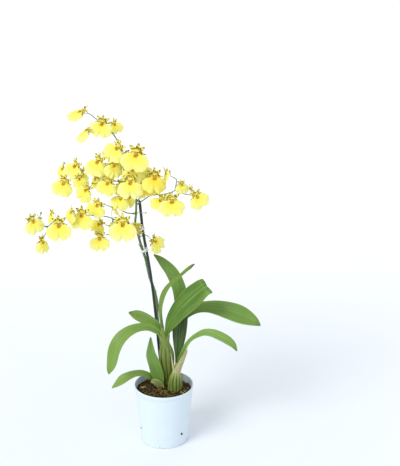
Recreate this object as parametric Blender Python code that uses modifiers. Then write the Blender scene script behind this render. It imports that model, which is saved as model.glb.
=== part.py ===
"""Potted orchid: two pseudobulbs with arching leaves and one branched spray of flowers in a plain pot.

Frame: metres, +Z up, origin at the centre of the pot's underside. The spray leans to -X, and -Y is the
front. Every separate piece of the plant, the pot and the support is its own object. Touching pieces
keep a gap of about 0.3 mm.
"""

import math

import bmesh
import bpy
import numpy as np
from mathutils import Euler, Matrix, Vector

# Pot
POT_HEIGHT = 0.124
RIM_RADIUS = 0.0600
RIM_BAND = 0.0062
BAND_STEP = 0.0011
BASE_RADIUS = 0.0472
WALL = 0.0012
FLOOR = 0.0015
DRAIN_HOLES = 6
DRAIN_RADIUS = 0.0040
DRAIN_CIRCLE = 0.0300
LIP_BEVEL = 0.0005
FOOT_BEVEL = 0.0015
POT_STEPS = 40
WELD = 1e-6

# Growing medium
MEDIUM_TOP = 0.1075
MEDIUM_CROWN = 0.0010
MEDIUM_SHOULDER = 0.030
MEDIUM_INSET = 0.0019
MEDIUM_STEPS = 24
GAP = 0.0003

# Support and ties
STAKE_RADIUS = 0.0027
STAKE_ROWS = 12
TIE_WIRE = 0.0006
TIE_SLACK = 0.0012
STAKE_ROUTE = [
    (0.003, 0.041, 0.024), (-0.003, 0.036, 0.102), (-0.010, 0.031, 0.185), (-0.015, 0.027, 0.255),
    (-0.021, 0.023, 0.323), (-0.029, 0.018, 0.390), (-0.038, 0.014, 0.451), (-0.044, 0.010, 0.520),
]
TIE_HEIGHTS = {"stem_tie_lower": 0.412, "stem_tie_upper": 0.4585}

# Flower stem: each route is a list of points, with radii evenly spread from its foot to its tip
STEM_ROUTE = [
    (0.009, 0.043, 0.096), (0.004, 0.046, 0.130), (-0.003, 0.049, 0.172), (-0.010, 0.052, 0.218),
    (-0.014, 0.053, 0.253), (-0.014, 0.051, 0.281), (-0.018, 0.050, 0.305), (-0.023, 0.047, 0.325),
    (-0.027, 0.041, 0.343), (-0.030, 0.034, 0.361), (-0.033, 0.028, 0.382), (-0.038, 0.021, 0.404),
    (-0.044, 0.016, 0.428), (-0.051, 0.012, 0.461), (-0.053, 0.010, 0.474), (-0.051, 0.006, 0.492),
    (-0.050, 0.002, 0.513), (-0.050, 0.000, 0.530), (-0.054, -0.003, 0.546), (-0.061, -0.005, 0.563),
    (-0.068, -0.006, 0.584), (-0.073, -0.005, 0.607), (-0.077, -0.002, 0.627), (-0.084, 0.009, 0.641),
    (-0.094, 0.022, 0.652), (-0.106, 0.029, 0.659), (-0.116, 0.036, 0.666), (-0.126, 0.042, 0.674),
    (-0.134, 0.045, 0.680), (-0.142, 0.046, 0.685),
]
STEM_RADII = (0.0034, 0.0031, 0.0022, 0.0014, 0.0008)
BRANCH_RADII = (0.0011, 0.0007)
PEDICEL_RADIUS = 0.0006
STEM_HOLE_EXTRA = 0.05
BRANCHES = {
    "low_left": [
        (-0.053, 0.012, 0.463), (-0.063, 0.006, 0.472), (-0.069, 0.002, 0.483), (-0.078, 0.000, 0.487),
        (-0.089, -0.004, 0.484), (-0.103, -0.009, 0.492), (-0.119, -0.016, 0.497), (-0.134, -0.024, 0.501),
        (-0.159, -0.036, 0.508), (-0.178, -0.045, 0.507), (-0.193, -0.051, 0.502), (-0.204, -0.054, 0.500),
        (-0.216, -0.055, 0.491), (-0.220, -0.055, 0.478), (-0.223, -0.055, 0.474),
    ],
    "low_left_inner": [
        (-0.089, -0.004, 0.484), (-0.088, -0.006, 0.467), (-0.095, -0.009, 0.457), (-0.108, -0.016, 0.458),
    ],
    "low_left_short": [
        (-0.095, -0.006, 0.487), (-0.099, -0.005, 0.473), (-0.108, -0.004, 0.473),
    ],
    "low_left_end": [
        (-0.216, -0.055, 0.491), (-0.225, -0.058, 0.494), (-0.234, -0.063, 0.502),
    ],
    "mid_left": [
        (-0.051, 0.006, 0.494), (-0.066, 0.004, 0.495), (-0.076, 0.003, 0.500), (-0.085, 0.001, 0.507),
        (-0.095, -0.003, 0.510), (-0.110, -0.009, 0.518),
    ],
    "high_left": [
        (-0.065, -0.006, 0.576), (-0.078, -0.006, 0.579), (-0.087, -0.004, 0.579), (-0.102, 0.002, 0.579),
        (-0.123, 0.017, 0.576), (-0.140, 0.030, 0.573), (-0.156, 0.043, 0.570), (-0.169, 0.054, 0.572),
        (-0.180, 0.063, 0.567), (-0.188, 0.071, 0.563),
    ],
    "high_left_lower": [
        (-0.059, -0.004, 0.558), (-0.076, -0.004, 0.563), (-0.099, 0.002, 0.562), (-0.112, 0.008, 0.556),
        (-0.128, 0.019, 0.551), (-0.138, 0.028, 0.548),
    ],
    "short_left": [
        (-0.070, -0.006, 0.593), (-0.078, 0.000, 0.602), (-0.083, 0.006, 0.604),
    ],
    "right": [
        (-0.050, 0.002, 0.513), (-0.033, -0.003, 0.527), (-0.023, -0.007, 0.535), (-0.008, -0.016, 0.541),
        (0.003, -0.022, 0.544), (0.017, -0.032, 0.551), (0.026, -0.037, 0.557), (0.038, -0.042, 0.555),
        (0.046, -0.046, 0.553), (0.056, -0.048, 0.552),
    ],
    "right_upper": [
        (0.026, -0.037, 0.557), (0.028, -0.034, 0.570), (0.028, -0.028, 0.577), (0.018, -0.015, 0.578),
    ],
    "inner_right": [
        (-0.050, 0.001, 0.519), (-0.039, 0.002, 0.533), (-0.035, 0.002, 0.544), (-0.030, 0.000, 0.558),
        (-0.023, -0.005, 0.575),
    ],
    "low_right": [
        (-0.048, 0.014, 0.439), (-0.042, 0.021, 0.440), (-0.034, 0.031, 0.438), (-0.027, 0.030, 0.434),
    ],
}

# Leaves: the ways the blade faces from base to tip, and stations (x, y, z, half width) on the midrib
LEAF_THICKNESS = 0.0009
LEAF_FOLD = 0.22
LEAF_TIP = 0.0012
ROWS_PER_STATION = 1.35
LEAVES = {
    "leaf_tall_rear": (
        [(-0.25, -0.95, 0.15), (-0.30, -0.90, 0.30)],
        [
            (0.027, 0.013, 0.180, 0.0050), (0.030, 0.015, 0.201, 0.0105), (0.032, 0.019, 0.230, 0.0150),
            (0.035, 0.024, 0.261, 0.0150), (0.036, 0.029, 0.291, 0.0147), (0.031, 0.035, 0.324, 0.0149),
            (0.018, 0.040, 0.353, 0.0134), (-0.002, 0.048, 0.374, 0.0088), (-0.019, 0.058, 0.385, 0.0015),
        ],
    ),
    "leaf_broad_front": (
        [(-0.30, -0.85, 0.45), (-0.30, -0.85, 0.45), (-0.30, -0.85, 0.45), (-0.20, -0.80, 0.55),
         (-0.10, -0.75, 0.65), (0.50, -0.20, 0.85), (0.54, 0.61, 0.00)],
        [
            (0.008, 0.003, 0.241, 0.0062), (0.018, 0.000, 0.266, 0.0142), (0.031, -0.006, 0.290, 0.0190),
            (0.044, -0.014, 0.309, 0.0216), (0.058, -0.021, 0.327, 0.0226), (0.071, -0.027, 0.342, 0.0212),
            (0.080, -0.031, 0.352, 0.0192), (0.087, -0.027, 0.354, 0.0172), (0.088, -0.018, 0.343, 0.0120),
            (0.082, -0.013, 0.329, 0.0015),
        ],
    ),
    "leaf_thin_upright": (
        [(-0.90, -0.30, 0.30), (-0.60, -0.30, 0.75)],
        [
            (-0.001, 0.008, 0.246, 0.0060), (-0.004, 0.004, 0.277, 0.0100), (-0.002, 0.001, 0.305, 0.0118),
            (0.005, -0.003, 0.330, 0.0108), (0.017, -0.007, 0.350, 0.0076), (0.034, -0.009, 0.367, 0.0052),
            (0.048, -0.012, 0.382, 0.0053), (0.056, -0.014, 0.389, 0.0052), (0.062, -0.016, 0.396, 0.0018),
        ],
    ),
    "leaf_right_arching": (
        [(0.00, -0.80, 0.60), (0.30, -0.70, 0.70)],
        [
            (0.009, 0.021, 0.229, 0.0040), (0.021, 0.030, 0.241, 0.0065), (0.035, 0.039, 0.252, 0.0081),
            (0.051, 0.040, 0.266, 0.0094), (0.069, 0.034, 0.278, 0.0107), (0.089, 0.031, 0.282, 0.0123),
            (0.109, 0.026, 0.282, 0.0156), (0.131, 0.019, 0.279, 0.0190), (0.151, 0.013, 0.274, 0.0200),
            (0.168, 0.008, 0.268, 0.0165), (0.183, 0.003, 0.262, 0.0101), (0.194, 0.001, 0.255, 0.0015),
        ],
    ),
    "leaf_right_lower": (
        [(-0.50, -0.80, 0.30), (0.50, -0.40, 0.80)],
        [
            (0.027, -0.001, 0.167, 0.0040), (0.034, -0.004, 0.182, 0.0060), (0.041, -0.008, 0.203, 0.0056),
            (0.048, -0.012, 0.221, 0.0045), (0.056, -0.015, 0.233, 0.0045), (0.067, -0.019, 0.243, 0.0055),
            (0.081, -0.023, 0.251, 0.0070), (0.096, -0.029, 0.253, 0.0088), (0.111, -0.034, 0.249, 0.0108),
            (0.126, -0.041, 0.243, 0.0110), (0.138, -0.046, 0.235, 0.0083), (0.146, -0.051, 0.224, 0.0015),
        ],
    ),
    "leaf_left_short": (
        [(-0.20, -0.80, 0.50), (-0.15, -0.75, 0.65)],
        [
            (-0.003, 0.014, 0.236, 0.0045), (-0.015, 0.018, 0.248, 0.0085), (-0.029, 0.024, 0.254, 0.0112),
            (-0.044, 0.031, 0.259, 0.0118), (-0.058, 0.038, 0.262, 0.0092), (-0.071, 0.045, 0.263, 0.0015),
        ],
    ),
    "leaf_left_arching": (
        [(0.10, -0.75, 0.65), (-0.75, -0.60, 0.20)],
        [
            (-0.002, 0.005, 0.230, 0.0045), (-0.015, -0.001, 0.245, 0.0068),
            (-0.030, -0.007, 0.255, 0.0075), (-0.048, -0.014, 0.258, 0.0090),
            (-0.065, -0.022, 0.255, 0.0110), (-0.080, -0.029, 0.246, 0.0130),
            (-0.090, -0.036, 0.234, 0.0145), (-0.097, -0.041, 0.217, 0.0155),
            (-0.101, -0.046, 0.197, 0.0140), (-0.106, -0.049, 0.181, 0.0085),
            (-0.108, -0.052, 0.173, 0.0015),
        ],
    ),
    "leaf_small_upright": (
        [(-0.20, -0.95, 0.20), (-0.10, -0.95, 0.30)],
        [
            (-0.006, 0.013, 0.112, 0.0065), (-0.013, 0.009, 0.141, 0.0132), (-0.019, 0.006, 0.166, 0.0124),
            (-0.025, 0.005, 0.187, 0.0107), (-0.026, 0.005, 0.206, 0.0065), (-0.026, 0.006, 0.226, 0.0015),
        ],
    ),
    "leaf_lower_left": (
        [(0.00, -0.60, 0.80), (-0.30, -0.45, 0.85)],
        [
            (-0.020, 0.018, 0.121, 0.0040), (-0.030, 0.013, 0.135, 0.0066), (-0.042, 0.009, 0.143, 0.0070),
            (-0.056, 0.005, 0.145, 0.0078), (-0.070, 0.001, 0.142, 0.0101), (-0.085, 0.000, 0.133, 0.0113),
            (-0.097, 0.001, 0.122, 0.0071), (-0.106, 0.002, 0.114, 0.0015),
        ],
    ),
    "bract_basal": (
        [(-0.30, -0.80, 0.50), (-0.30, -0.80, 0.50)],
        [
            (-0.007, 0.006, 0.116, 0.0068), (-0.013, 0.003, 0.124, 0.0074),
            (-0.020, 0.001, 0.129, 0.0056), (-0.027, 0.000, 0.128, 0.0012),
        ],
    ),
    "bract_neck": (
        [(-0.10, -0.95, 0.30), (-0.60, -0.75, 0.30)],
        [
            (0.007, -0.003, 0.205, 0.0040), (0.005, -0.003, 0.220, 0.0055), (0.000, -0.002, 0.238, 0.0035),
            (-0.006, -0.002, 0.254, 0.0010),
        ],
    ),
}

# Pseudobulbs: centre of the base, top of the neck, half width, and depth as a part of the width
BULBS = {
    "pseudobulb_rear": ((0.010, 0.024, 0.099), (0.003, 0.011, 0.222), 0.0145, 0.58),
    "pseudobulb_front": ((0.0205, -0.002, 0.099), (0.0265, -0.001, 0.163), 0.0142, 0.66),
}
BULB_PROFILE = [
    (0.00, 0.45), (0.08, 0.78), (0.22, 0.97), (0.40, 1.00), (0.60, 0.93), (0.78, 0.72), (0.92, 0.46),
    (1.00, 0.34),
]
BULB_STEPS = 14

# Flowers: crest (x, y, z), then turn, nod and tilt in degrees, and size against a full flower
FLOWERS = [
    (-0.153, 0.044, 0.688, -72, -52, 8, 1.12), (-0.139, 0.011, 0.662, -82, -34, 5, 1.10),
    (-0.112, 0.010, 0.678, -5, 8, 12, 1.10), (-0.092, 0.047, 0.663, 20, -10, -15, 0.75),
    (-0.081, -0.019, 0.638, -30, -5, 35, 1.10), (-0.047, -0.028, 0.630, 0, -5, 10, 1.35),
    (-0.121, -0.002, 0.605, -20, -8, 15, 1.10), (-0.091, -0.011, 0.602, 30, 0, 8, 1.00),
    (-0.056, -0.016, 0.599, 5, 0, -8, 0.90), (-0.034, -0.014, 0.564, 20, 0, -5, 1.05),
    (-0.013, -0.028, 0.583, 10, -8, 5, 1.20), (-0.059, -0.032, 0.575, 0, -8, 0, 1.25),
    (-0.168, 0.045, 0.579, -35, -10, 20, 1.05), (-0.196, 0.080, 0.560, -70, 0, 30, 0.90),
    (-0.191, 0.035, 0.548, -10, -10, 15, 1.08), (-0.158, 0.063, 0.556, 60, 0, 10, 0.90),
    (-0.129, 0.040, 0.556, -130, 0, -15, 0.80), (-0.110, 0.032, 0.563, 70, 0, 20, 0.85),
    (-0.145, 0.009, 0.543, -40, -5, 25, 1.00), (-0.102, -0.014, 0.566, -15, 0, 15, 1.00),
    (-0.078, -0.012, 0.534, -20, 0, 15, 0.95), (-0.122, -0.025, 0.525, -20, 0, 20, 1.00),
    (-0.169, -0.058, 0.523, -60, 0, 20, 0.85), (-0.151, -0.049, 0.515, -10, -5, 5, 1.15),
    (-0.193, -0.078, 0.506, 5, -5, 0, 1.20), (-0.210, -0.032, 0.509, -60, 0, -20, 0.75),
    (-0.243, -0.075, 0.512, 35, -10, -10, 1.00), (-0.234, -0.041, 0.500, 110, 0, -10, 0.75),
    (-0.227, -0.068, 0.467, 55, -5, 5, 0.90), (-0.120, -0.011, 0.480, -40, -5, 30, 0.90),
    (-0.120, -0.033, 0.460, 0, 0, 0, 1.00), (-0.075, -0.035, 0.491, 0, -8, 0, 1.35),
    (-0.093, 0.012, 0.503, 120, 0, -5, 0.75), (-0.001, -0.033, 0.538, -20, 0, 20, 0.90),
    (0.020, -0.059, 0.548, 5, 12, 0, 1.25), (0.038, -0.043, 0.573, 30, 0, -5, 0.70),
    (0.009, -0.003, 0.582, -60, 0, -40, 0.75), (0.066, -0.057, 0.555, 25, -5, -25, 1.00),
    (0.056, -0.031, 0.558, 110, 0, -15, 0.75), (-0.017, 0.018, 0.432, 55, -5, -28, 1.00),
    (-0.062, 0.017, 0.525, -50, 0, -5, 0.80),
]
PETAL_THICKNESS = 0.0011
LIP_TILT = 20.0
LIP_HALF = [
    (0.000, 0.003), (0.004, 0.002), (0.005, -0.007), (0.013, -0.010), (0.0175, -0.016), (0.011, -0.025),
    (0.004, -0.0255), (0.000, -0.022),
]
SEPAL_HALF = [
    (0.000, 0.0155), (0.003, 0.012), (0.003, 0.006), (0.012, 0.010), (0.013, 0.006), (0.000, -0.003),
]
COLUMN_RADIUS = 0.0030
COLUMN_LENGTH = 0.0050
PEDICEL_CLEARANCE = 0.0013
PEDICEL_STRAIGHT = 0.0060
PEDICEL_RISE = 0.0080

COLOURS = {
    "pot": ((0.80, 0.88, 0.94), 0.35),
    "medium": ((0.07, 0.035, 0.02), 0.95),
    "stake": ((0.03, 0.06, 0.05), 0.45),
    "tie": ((0.85, 0.85, 0.78), 0.6),
    "stem": ((0.24, 0.34, 0.10), 0.5),
    "leaf": ((0.12, 0.28, 0.05), 0.42),
    "bulb": ((0.30, 0.36, 0.10), 0.5),
    "bract": ((0.55, 0.52, 0.30), 0.7),
    "flower": ((0.90, 0.80, 0.12), 0.55),
}


def clear_scene():
    """Takes away the startup scene's objects."""
    for obj in list(bpy.data.objects):
        bpy.data.objects.remove(obj, do_unlink=True)


def new_collection(name):
    collection = bpy.data.collections.new(name)
    bpy.context.scene.collection.children.link(collection)
    return collection


def new_material(name):
    colour, roughness = COLOURS[name]
    material = bpy.data.materials.new(name)
    material.use_nodes = True
    shader = material.node_tree.nodes["Principled BSDF"]
    shader.inputs["Base Color"].default_value = (*colour, 1.0)
    shader.inputs["Roughness"].default_value = roughness
    shader.inputs["Metallic"].default_value = 0.0
    return material


def add_object(name, data, collection, material=None):
    obj = bpy.data.objects.new(name, data)
    collection.objects.link(obj)
    if material is not None and not data.materials:
        data.materials.append(material)
    return obj


def smooth_route(points, count):
    """Count points along the Catmull-Rom curve through the given rows, evenly spaced by row number."""
    rows = np.array(points, dtype=float)
    padded = np.vstack([2 * rows[0] - rows[1], rows, 2 * rows[-1] - rows[-2]])
    at = np.linspace(0, len(rows) - 1, count)
    first = np.minimum(at.astype(int), len(rows) - 2)
    t = (at - first)[:, None]
    a, b, c, d = (padded[first + i] for i in range(4))
    return 0.5 * (2 * b + (c - a) * t + (2 * a - 5 * b + 4 * c - d) * t**2 + (3 * b - a - 3 * c + d) * t**3)


def tube(name, points, radii, collection, material=None, resolution=1, cyclic=False):
    """A round tube along a polyline, with the given radii evenly spread along it."""
    curve = bpy.data.curves.new(name, "CURVE")
    curve.dimensions = "3D"
    curve.bevel_depth = 1.0
    curve.bevel_resolution = resolution
    curve.use_fill_caps = not cyclic
    spline = curve.splines.new("POLY")
    spline.points.add(len(points) - 1)
    widths = np.interp(np.linspace(0, 1, len(points)), np.linspace(0, 1, len(radii)), radii)
    for point, place, width in zip(spline.points, points, widths):
        point.co = (*place, 1.0)
        point.radius = float(width)
    spline.use_cyclic_u = cyclic
    return add_object(name, curve, collection, material)


def to_mesh_object(obj, collection, material=None):
    """The object again as a mesh with its caps welded and its placing kept; the first one is removed."""
    bpy.context.view_layer.update()
    graph = bpy.context.evaluated_depsgraph_get()
    mesh = bpy.data.meshes.new_from_object(obj.evaluated_get(graph))
    name, place = obj.name, obj.matrix_world.copy()
    bpy.data.objects.remove(obj, do_unlink=True)
    work = bmesh.new()
    work.from_mesh(mesh)
    bmesh.ops.remove_doubles(work, verts=work.verts, dist=WELD)
    bmesh.ops.recalc_face_normals(work, faces=work.faces)
    work.to_mesh(mesh)
    work.free()
    made = add_object(name, mesh, collection, material)
    made.matrix_world = place
    return made


def join_meshes(name, objects, collection):
    """One mesh object of all the given ones, still as separate bodies."""
    work = bmesh.new()
    for obj in objects:
        obj.data.transform(obj.matrix_world)
        work.from_mesh(obj.data)
        bpy.data.objects.remove(obj, do_unlink=True)
    mesh = bpy.data.meshes.new(name)
    work.to_mesh(mesh)
    work.free()
    return add_object(name, mesh, collection)


def lathe(name, profile, steps, collection, material=None):
    """The (radius, z) profile turned round Z. Its outer side runs from top to bottom."""
    mesh = bpy.data.meshes.new(name)
    mesh.from_pydata([(r, 0.0, z) for r, z in profile], [(i, i + 1) for i in range(len(profile) - 1)], [])
    obj = add_object(name, mesh, collection, material)
    screw = obj.modifiers.new("turn", "SCREW")
    screw.steps = steps
    screw.render_steps = steps
    screw.use_merge_vertices = True
    screw.merge_threshold = 0.00005
    screw.use_smooth_shade = True
    return obj


def cut(obj, cutter, operation="DIFFERENCE"):
    cutter.hide_render = True
    cutter.display_type = "WIRE"
    boolean = obj.modifiers.new(cutter.name, "BOOLEAN")
    boolean.operation = operation
    boolean.solver = "EXACT"
    boolean.object = cutter
    return boolean


def cylinder(name, radius, depth, place, collection):
    mesh = bpy.data.meshes.new(name)
    work = bmesh.new()
    bmesh.ops.create_cone(work, cap_ends=True, segments=12, radius1=radius, radius2=radius, depth=depth)
    work.to_mesh(mesh)
    work.free()
    obj = add_object(name, mesh, collection)
    obj.matrix_world = Matrix.Translation(place)
    return obj


def wall_radius(z):
    """The pot's outer radius below the rim band, at height z."""
    top = RIM_RADIUS - BAND_STEP
    return BASE_RADIUS + (top - BASE_RADIUS) * z / (POT_HEIGHT - RIM_BAND)


def build_pot(parts, cutters):
    band_low = POT_HEIGHT - RIM_BAND
    inner_top = wall_radius(band_low) - WALL
    profile = [
        (0.0, FLOOR),
        (wall_radius(FLOOR) - WALL, FLOOR),
        (inner_top, band_low),
        (inner_top + LIP_BEVEL, POT_HEIGHT - LIP_BEVEL),
        (inner_top + 2 * LIP_BEVEL, POT_HEIGHT),
        (RIM_RADIUS - LIP_BEVEL, POT_HEIGHT),
        (RIM_RADIUS, POT_HEIGHT - LIP_BEVEL),
        (RIM_RADIUS, band_low + LIP_BEVEL),
        (wall_radius(band_low), band_low),
        (wall_radius(FOOT_BEVEL), FOOT_BEVEL),
        (BASE_RADIUS - FOOT_BEVEL, 0.0),
        (0.0, 0.0),
    ]
    pot = lathe("pot", profile, POT_STEPS, parts, new_material("pot"))
    holes = []
    for i in range(DRAIN_HOLES):
        angle = 2 * math.pi * (i + 0.5) / DRAIN_HOLES
        place = (DRAIN_CIRCLE * math.cos(angle), DRAIN_CIRCLE * math.sin(angle), FLOOR / 2)
        holes.append(cylinder(f"drain_{i}", DRAIN_RADIUS, 4 * FLOOR, place, cutters))
    cut(pot, join_meshes("drain_holes", holes, cutters))


def bulb_solid(name, clearance, collection, material=None):
    """A flattened pear on its base, lofted by turning BULB_PROFILE, and leaned to its neck."""
    base, neck, half_width, depth = BULBS[name]
    axis = Vector(neck) - Vector(base)
    outer = [[r * half_width + clearance, z * axis.length] for z, r in reversed(BULB_PROFILE)]
    outer[0][1] += clearance
    outer[-1][1] -= clearance
    profile = [(0.0, outer[0][1]), *outer, (0.0, outer[-1][1])]
    bulb = lathe(name, profile, BULB_STEPS, collection, material)
    lean = Vector((0, 0, 1)).rotation_difference(axis)
    flatten = Matrix.Diagonal((1, depth, 1, 1))
    bulb.matrix_world = Matrix.Translation(base) @ lean.to_matrix().to_4x4() @ flatten
    return bulb


def build_medium(parts, cutters):
    low = FLOOR + GAP
    profile = [
        (0.0, MEDIUM_TOP + MEDIUM_CROWN),
        (MEDIUM_SHOULDER, MEDIUM_TOP + 0.5 * MEDIUM_CROWN),
        (wall_radius(MEDIUM_TOP) - MEDIUM_INSET, MEDIUM_TOP),
        (wall_radius(low) - MEDIUM_INSET, low),
        (0.0, low),
    ]
    medium = lathe("growing_medium", profile, MEDIUM_STEPS, parts, new_material("medium"))
    for name in BULBS:
        socket = bulb_solid(name, GAP, cutters)
        socket.name = f"socket_{name}"
        cut(medium, to_mesh_object(socket, cutters))
    widened = STAKE_RADIUS + GAP
    buried = smooth_route(STAKE_ROUTE, STAKE_ROWS)[: STAKE_ROWS // 3]
    hole = tube("stake_hole", buried, (widened, widened), cutters)
    cut(medium, to_mesh_object(hole, cutters))
    foot, above = (Vector(point) for point in STEM_ROUTE[:2])
    widened = STEM_RADII[0] + GAP
    buried = [foot.lerp(above, -STEM_HOLE_EXTRA), above]
    hole = tube("stem_hole", buried, (widened, widened), cutters, resolution=2)
    cut(medium, to_mesh_object(hole, cutters))


def build_stake(parts):
    route = smooth_route(STAKE_ROUTE, STAKE_ROWS)
    tube("stake", route, (STAKE_RADIUS, STAKE_RADIUS), parts, new_material("stake"))


def route_at(route, z):
    """The point of a rising route at height z."""
    rows = np.array(route)
    return Vector([np.interp(z, rows[:, 2], rows[:, i]) for i in range(3)])


def build_ties(parts):
    """Each tie is a closed wire loop round the stake and the stem, with half-round ends."""
    material = new_material("tie")
    for name, height in TIE_HEIGHTS.items():
        stake, stem = route_at(STAKE_ROUTE, height), route_at(STEM_ROUTE, height)
        along = (stake - stem).normalized()
        across = along.cross(Vector((0, 0, 1))).normalized()
        reach = STAKE_RADIUS + TIE_WIRE + TIE_SLACK
        points = []
        for centre, start in ((stake, -math.pi / 2), (stem, math.pi / 2)):
            for i in range(6):
                angle = start + math.pi * i / 5
                points.append(centre + reach * (math.cos(angle) * along + math.sin(angle) * across))
        tube(name, points, (TIE_WIRE, TIE_WIRE), parts, material, cyclic=True)


def flower_turn(flower):
    turn, nod, tilt = (math.radians(angle) for angle in flower[3:6])
    return (
        Matrix.Rotation(turn, 3, "Z") @ Matrix.Rotation(nod, 3, "X") @ Matrix.Rotation(tilt, 3, "Y")
    )


def nearest_on(routes, place):
    """The point nearest to place on any of the routes."""
    best = None
    for route in routes:
        for start, end in zip(route, route[1:]):
            start, end = Vector(start), Vector(end)
            share = (place - start).dot(end - start) / (end - start).length_squared
            point = start.lerp(end, min(1.0, max(0.0, share)))
            if best is None or (point - place).length < (best - place).length:
                best = point
    return best


def pedicel_route(flower, routes):
    """Rising from the nearest branch to the back of the flower, straight for the last few millimetres."""
    crest = Vector(flower[:3])
    back = flower_turn(flower) @ Vector((0, 1, 0))
    straight = crest + back * PEDICEL_STRAIGHT
    foot = nearest_on(routes, straight - Vector((0, 0, PEDICEL_RISE)))
    return [foot, straight, crest + back * PEDICEL_CLEARANCE]


def build_stem(parts, cutters):
    """The main axis, with every branch and flower stalk united to it: one grown piece."""
    main = tube("flower_stem", STEM_ROUTE, STEM_RADII, cutters, resolution=2)
    main = to_mesh_object(main, parts, new_material("stem"))
    routes = [STEM_ROUTE, *BRANCHES.values()]
    twigs = []
    for name, route in BRANCHES.items():
        twigs.append(to_mesh_object(tube(name, route, BRANCH_RADII, cutters), cutters))
    for i, flower in enumerate(FLOWERS, 1):
        route = pedicel_route(flower, routes)
        stalk = tube(f"pedicel_{i}", route, (PEDICEL_RADIUS, PEDICEL_RADIUS), cutters, resolution=0)
        twigs.append(to_mesh_object(stalk, cutters))
    union = cut(main, join_meshes("twigs", twigs, cutters), "UNION")
    union.use_self = True


def unit(vector):
    return vector / np.linalg.norm(vector, axis=-1, keepdims=True)


def build_blade(name, parts, material):
    """A leaf: three points across at each row, the midrib lower than the edges, thickened to a shell."""
    facing, stations = LEAVES[name]
    rows = smooth_route(stations, round(ROWS_PER_STATION * len(stations)))
    middle, half = rows[:, :3], np.maximum(rows[:, 3:], LEAF_TIP)
    share, knots = np.linspace(0, 1, len(rows)), np.linspace(0, 1, len(facing))
    face = unit(np.stack([np.interp(share, knots, column) for column in zip(*facing)], -1))
    along = unit(np.gradient(middle, axis=0))
    side = unit(np.cross(along, face))
    lift = np.cross(side, along) * LEAF_FOLD
    across = np.array([-1.0, 0.0, 1.0])[None, :, None]
    grid = middle[:, None] + half[:, None] * (across * side[:, None] + np.abs(across) * lift[:, None])
    mesh = bpy.data.meshes.new(name)
    faces = [
        (3 * r + c, 3 * r + c + 1, 3 * r + c + 4, 3 * r + c + 3)
        for r in range(len(rows) - 1)
        for c in range(2)
    ]
    mesh.from_pydata([tuple(map(float, point)) for point in grid.reshape(-1, 3)], [], faces)
    leaf = add_object(name, mesh, parts, material)
    shell = leaf.modifiers.new("shell", "SOLIDIFY")
    shell.thickness = LEAF_THICKNESS
    shell.offset = 0.0
    mesh.shade_smooth()


def outline(name, half, collection, tilt=0.0):
    """A flat shape, mirrored from its right half, standing in the XZ plane and tilted forward at its foot."""
    curve = bpy.data.curves.new(name, "CURVE")
    curve.dimensions = "2D"
    curve.fill_mode = "BOTH"
    curve.extrude = PETAL_THICKNESS / 2
    points = half + [(-x, y) for x, y in reversed(half[1:-1])]
    spline = curve.splines.new("POLY")
    spline.points.add(len(points) - 1)
    for point, (x, y) in zip(spline.points, points):
        point.co = (x, y, 0.0, 1.0)
    spline.use_cyclic_u = True
    obj = add_object(name, curve, collection)
    obj.matrix_world = Euler((math.radians(90 - tilt), 0, 0)).to_matrix().to_4x4()
    return to_mesh_object(obj, collection)


def flower_mesh(cutters, material):
    """One flower as a plain solid: lip, sepals and column united. Its crest is the origin, facing -Y."""
    body = outline("sepals", SEPAL_HALF, cutters)
    lip = outline("lip", LIP_HALF, cutters, LIP_TILT)
    mesh = bpy.data.meshes.new("column")
    work = bmesh.new()
    bmesh.ops.create_cone(
        work, cap_ends=True, segments=6, radius1=COLUMN_RADIUS, radius2=COLUMN_RADIUS / 2, depth=COLUMN_LENGTH
    )
    work.to_mesh(mesh)
    work.free()
    column = add_object("column", mesh, cutters)
    lean = Euler((math.radians(90), 0, 0)).to_matrix().to_4x4()
    column.matrix_world = Matrix.Translation((0, -COLUMN_LENGTH / 2, 0)) @ lean
    cut(body, lip, "UNION")
    cut(body, column, "UNION")
    bpy.context.view_layer.update()
    graph = bpy.context.evaluated_depsgraph_get()
    made = bpy.data.meshes.new_from_object(body.evaluated_get(graph))
    made.transform(body.matrix_world)
    made.materials.clear()
    made.materials.append(material)
    for helper in (body, lip, column):
        bpy.data.objects.remove(helper, do_unlink=True)
    return made


def build_flowers(parts, cutters):
    mesh = flower_mesh(cutters, new_material("flower"))
    for i, flower in enumerate(FLOWERS, 1):
        obj = add_object(f"flower_{i:02d}", mesh, parts)
        place = Matrix.Translation(flower[:3]) @ flower_turn(flower).to_4x4()
        obj.matrix_world = place @ Matrix.Diagonal((flower[6], 1.0, flower[6], 1.0))


def main():
    clear_scene()
    parts = new_collection("potted_orchid")
    cutters = new_collection("cutters")
    build_pot(parts, cutters)
    build_medium(parts, cutters)
    build_stake(parts)
    build_ties(parts)
    build_stem(parts, cutters)
    bulb_material = new_material("bulb")
    for name in BULBS:
        bulb_solid(name, 0.0, parts, bulb_material)
    leaf_material, bract_material = new_material("leaf"), new_material("bract")
    for name in LEAVES:
        build_blade(name, parts, bract_material if name.startswith("bract") else leaf_material)
    build_flowers(parts, cutters)
    cutters.hide_render = True


main()
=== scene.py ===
"""Looks of a potted orchid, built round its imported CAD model.

Metres, +Z up, the origin under the middle of the pot, -Y the front. A piece is one mesh gathered from
patches: grids of points worked out with numpy. Each point carries two attributes for the materials:
"mark" = (across, along, under) on its own patch, and "tone" = three numbers that its patch was given.
"""

import math

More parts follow.
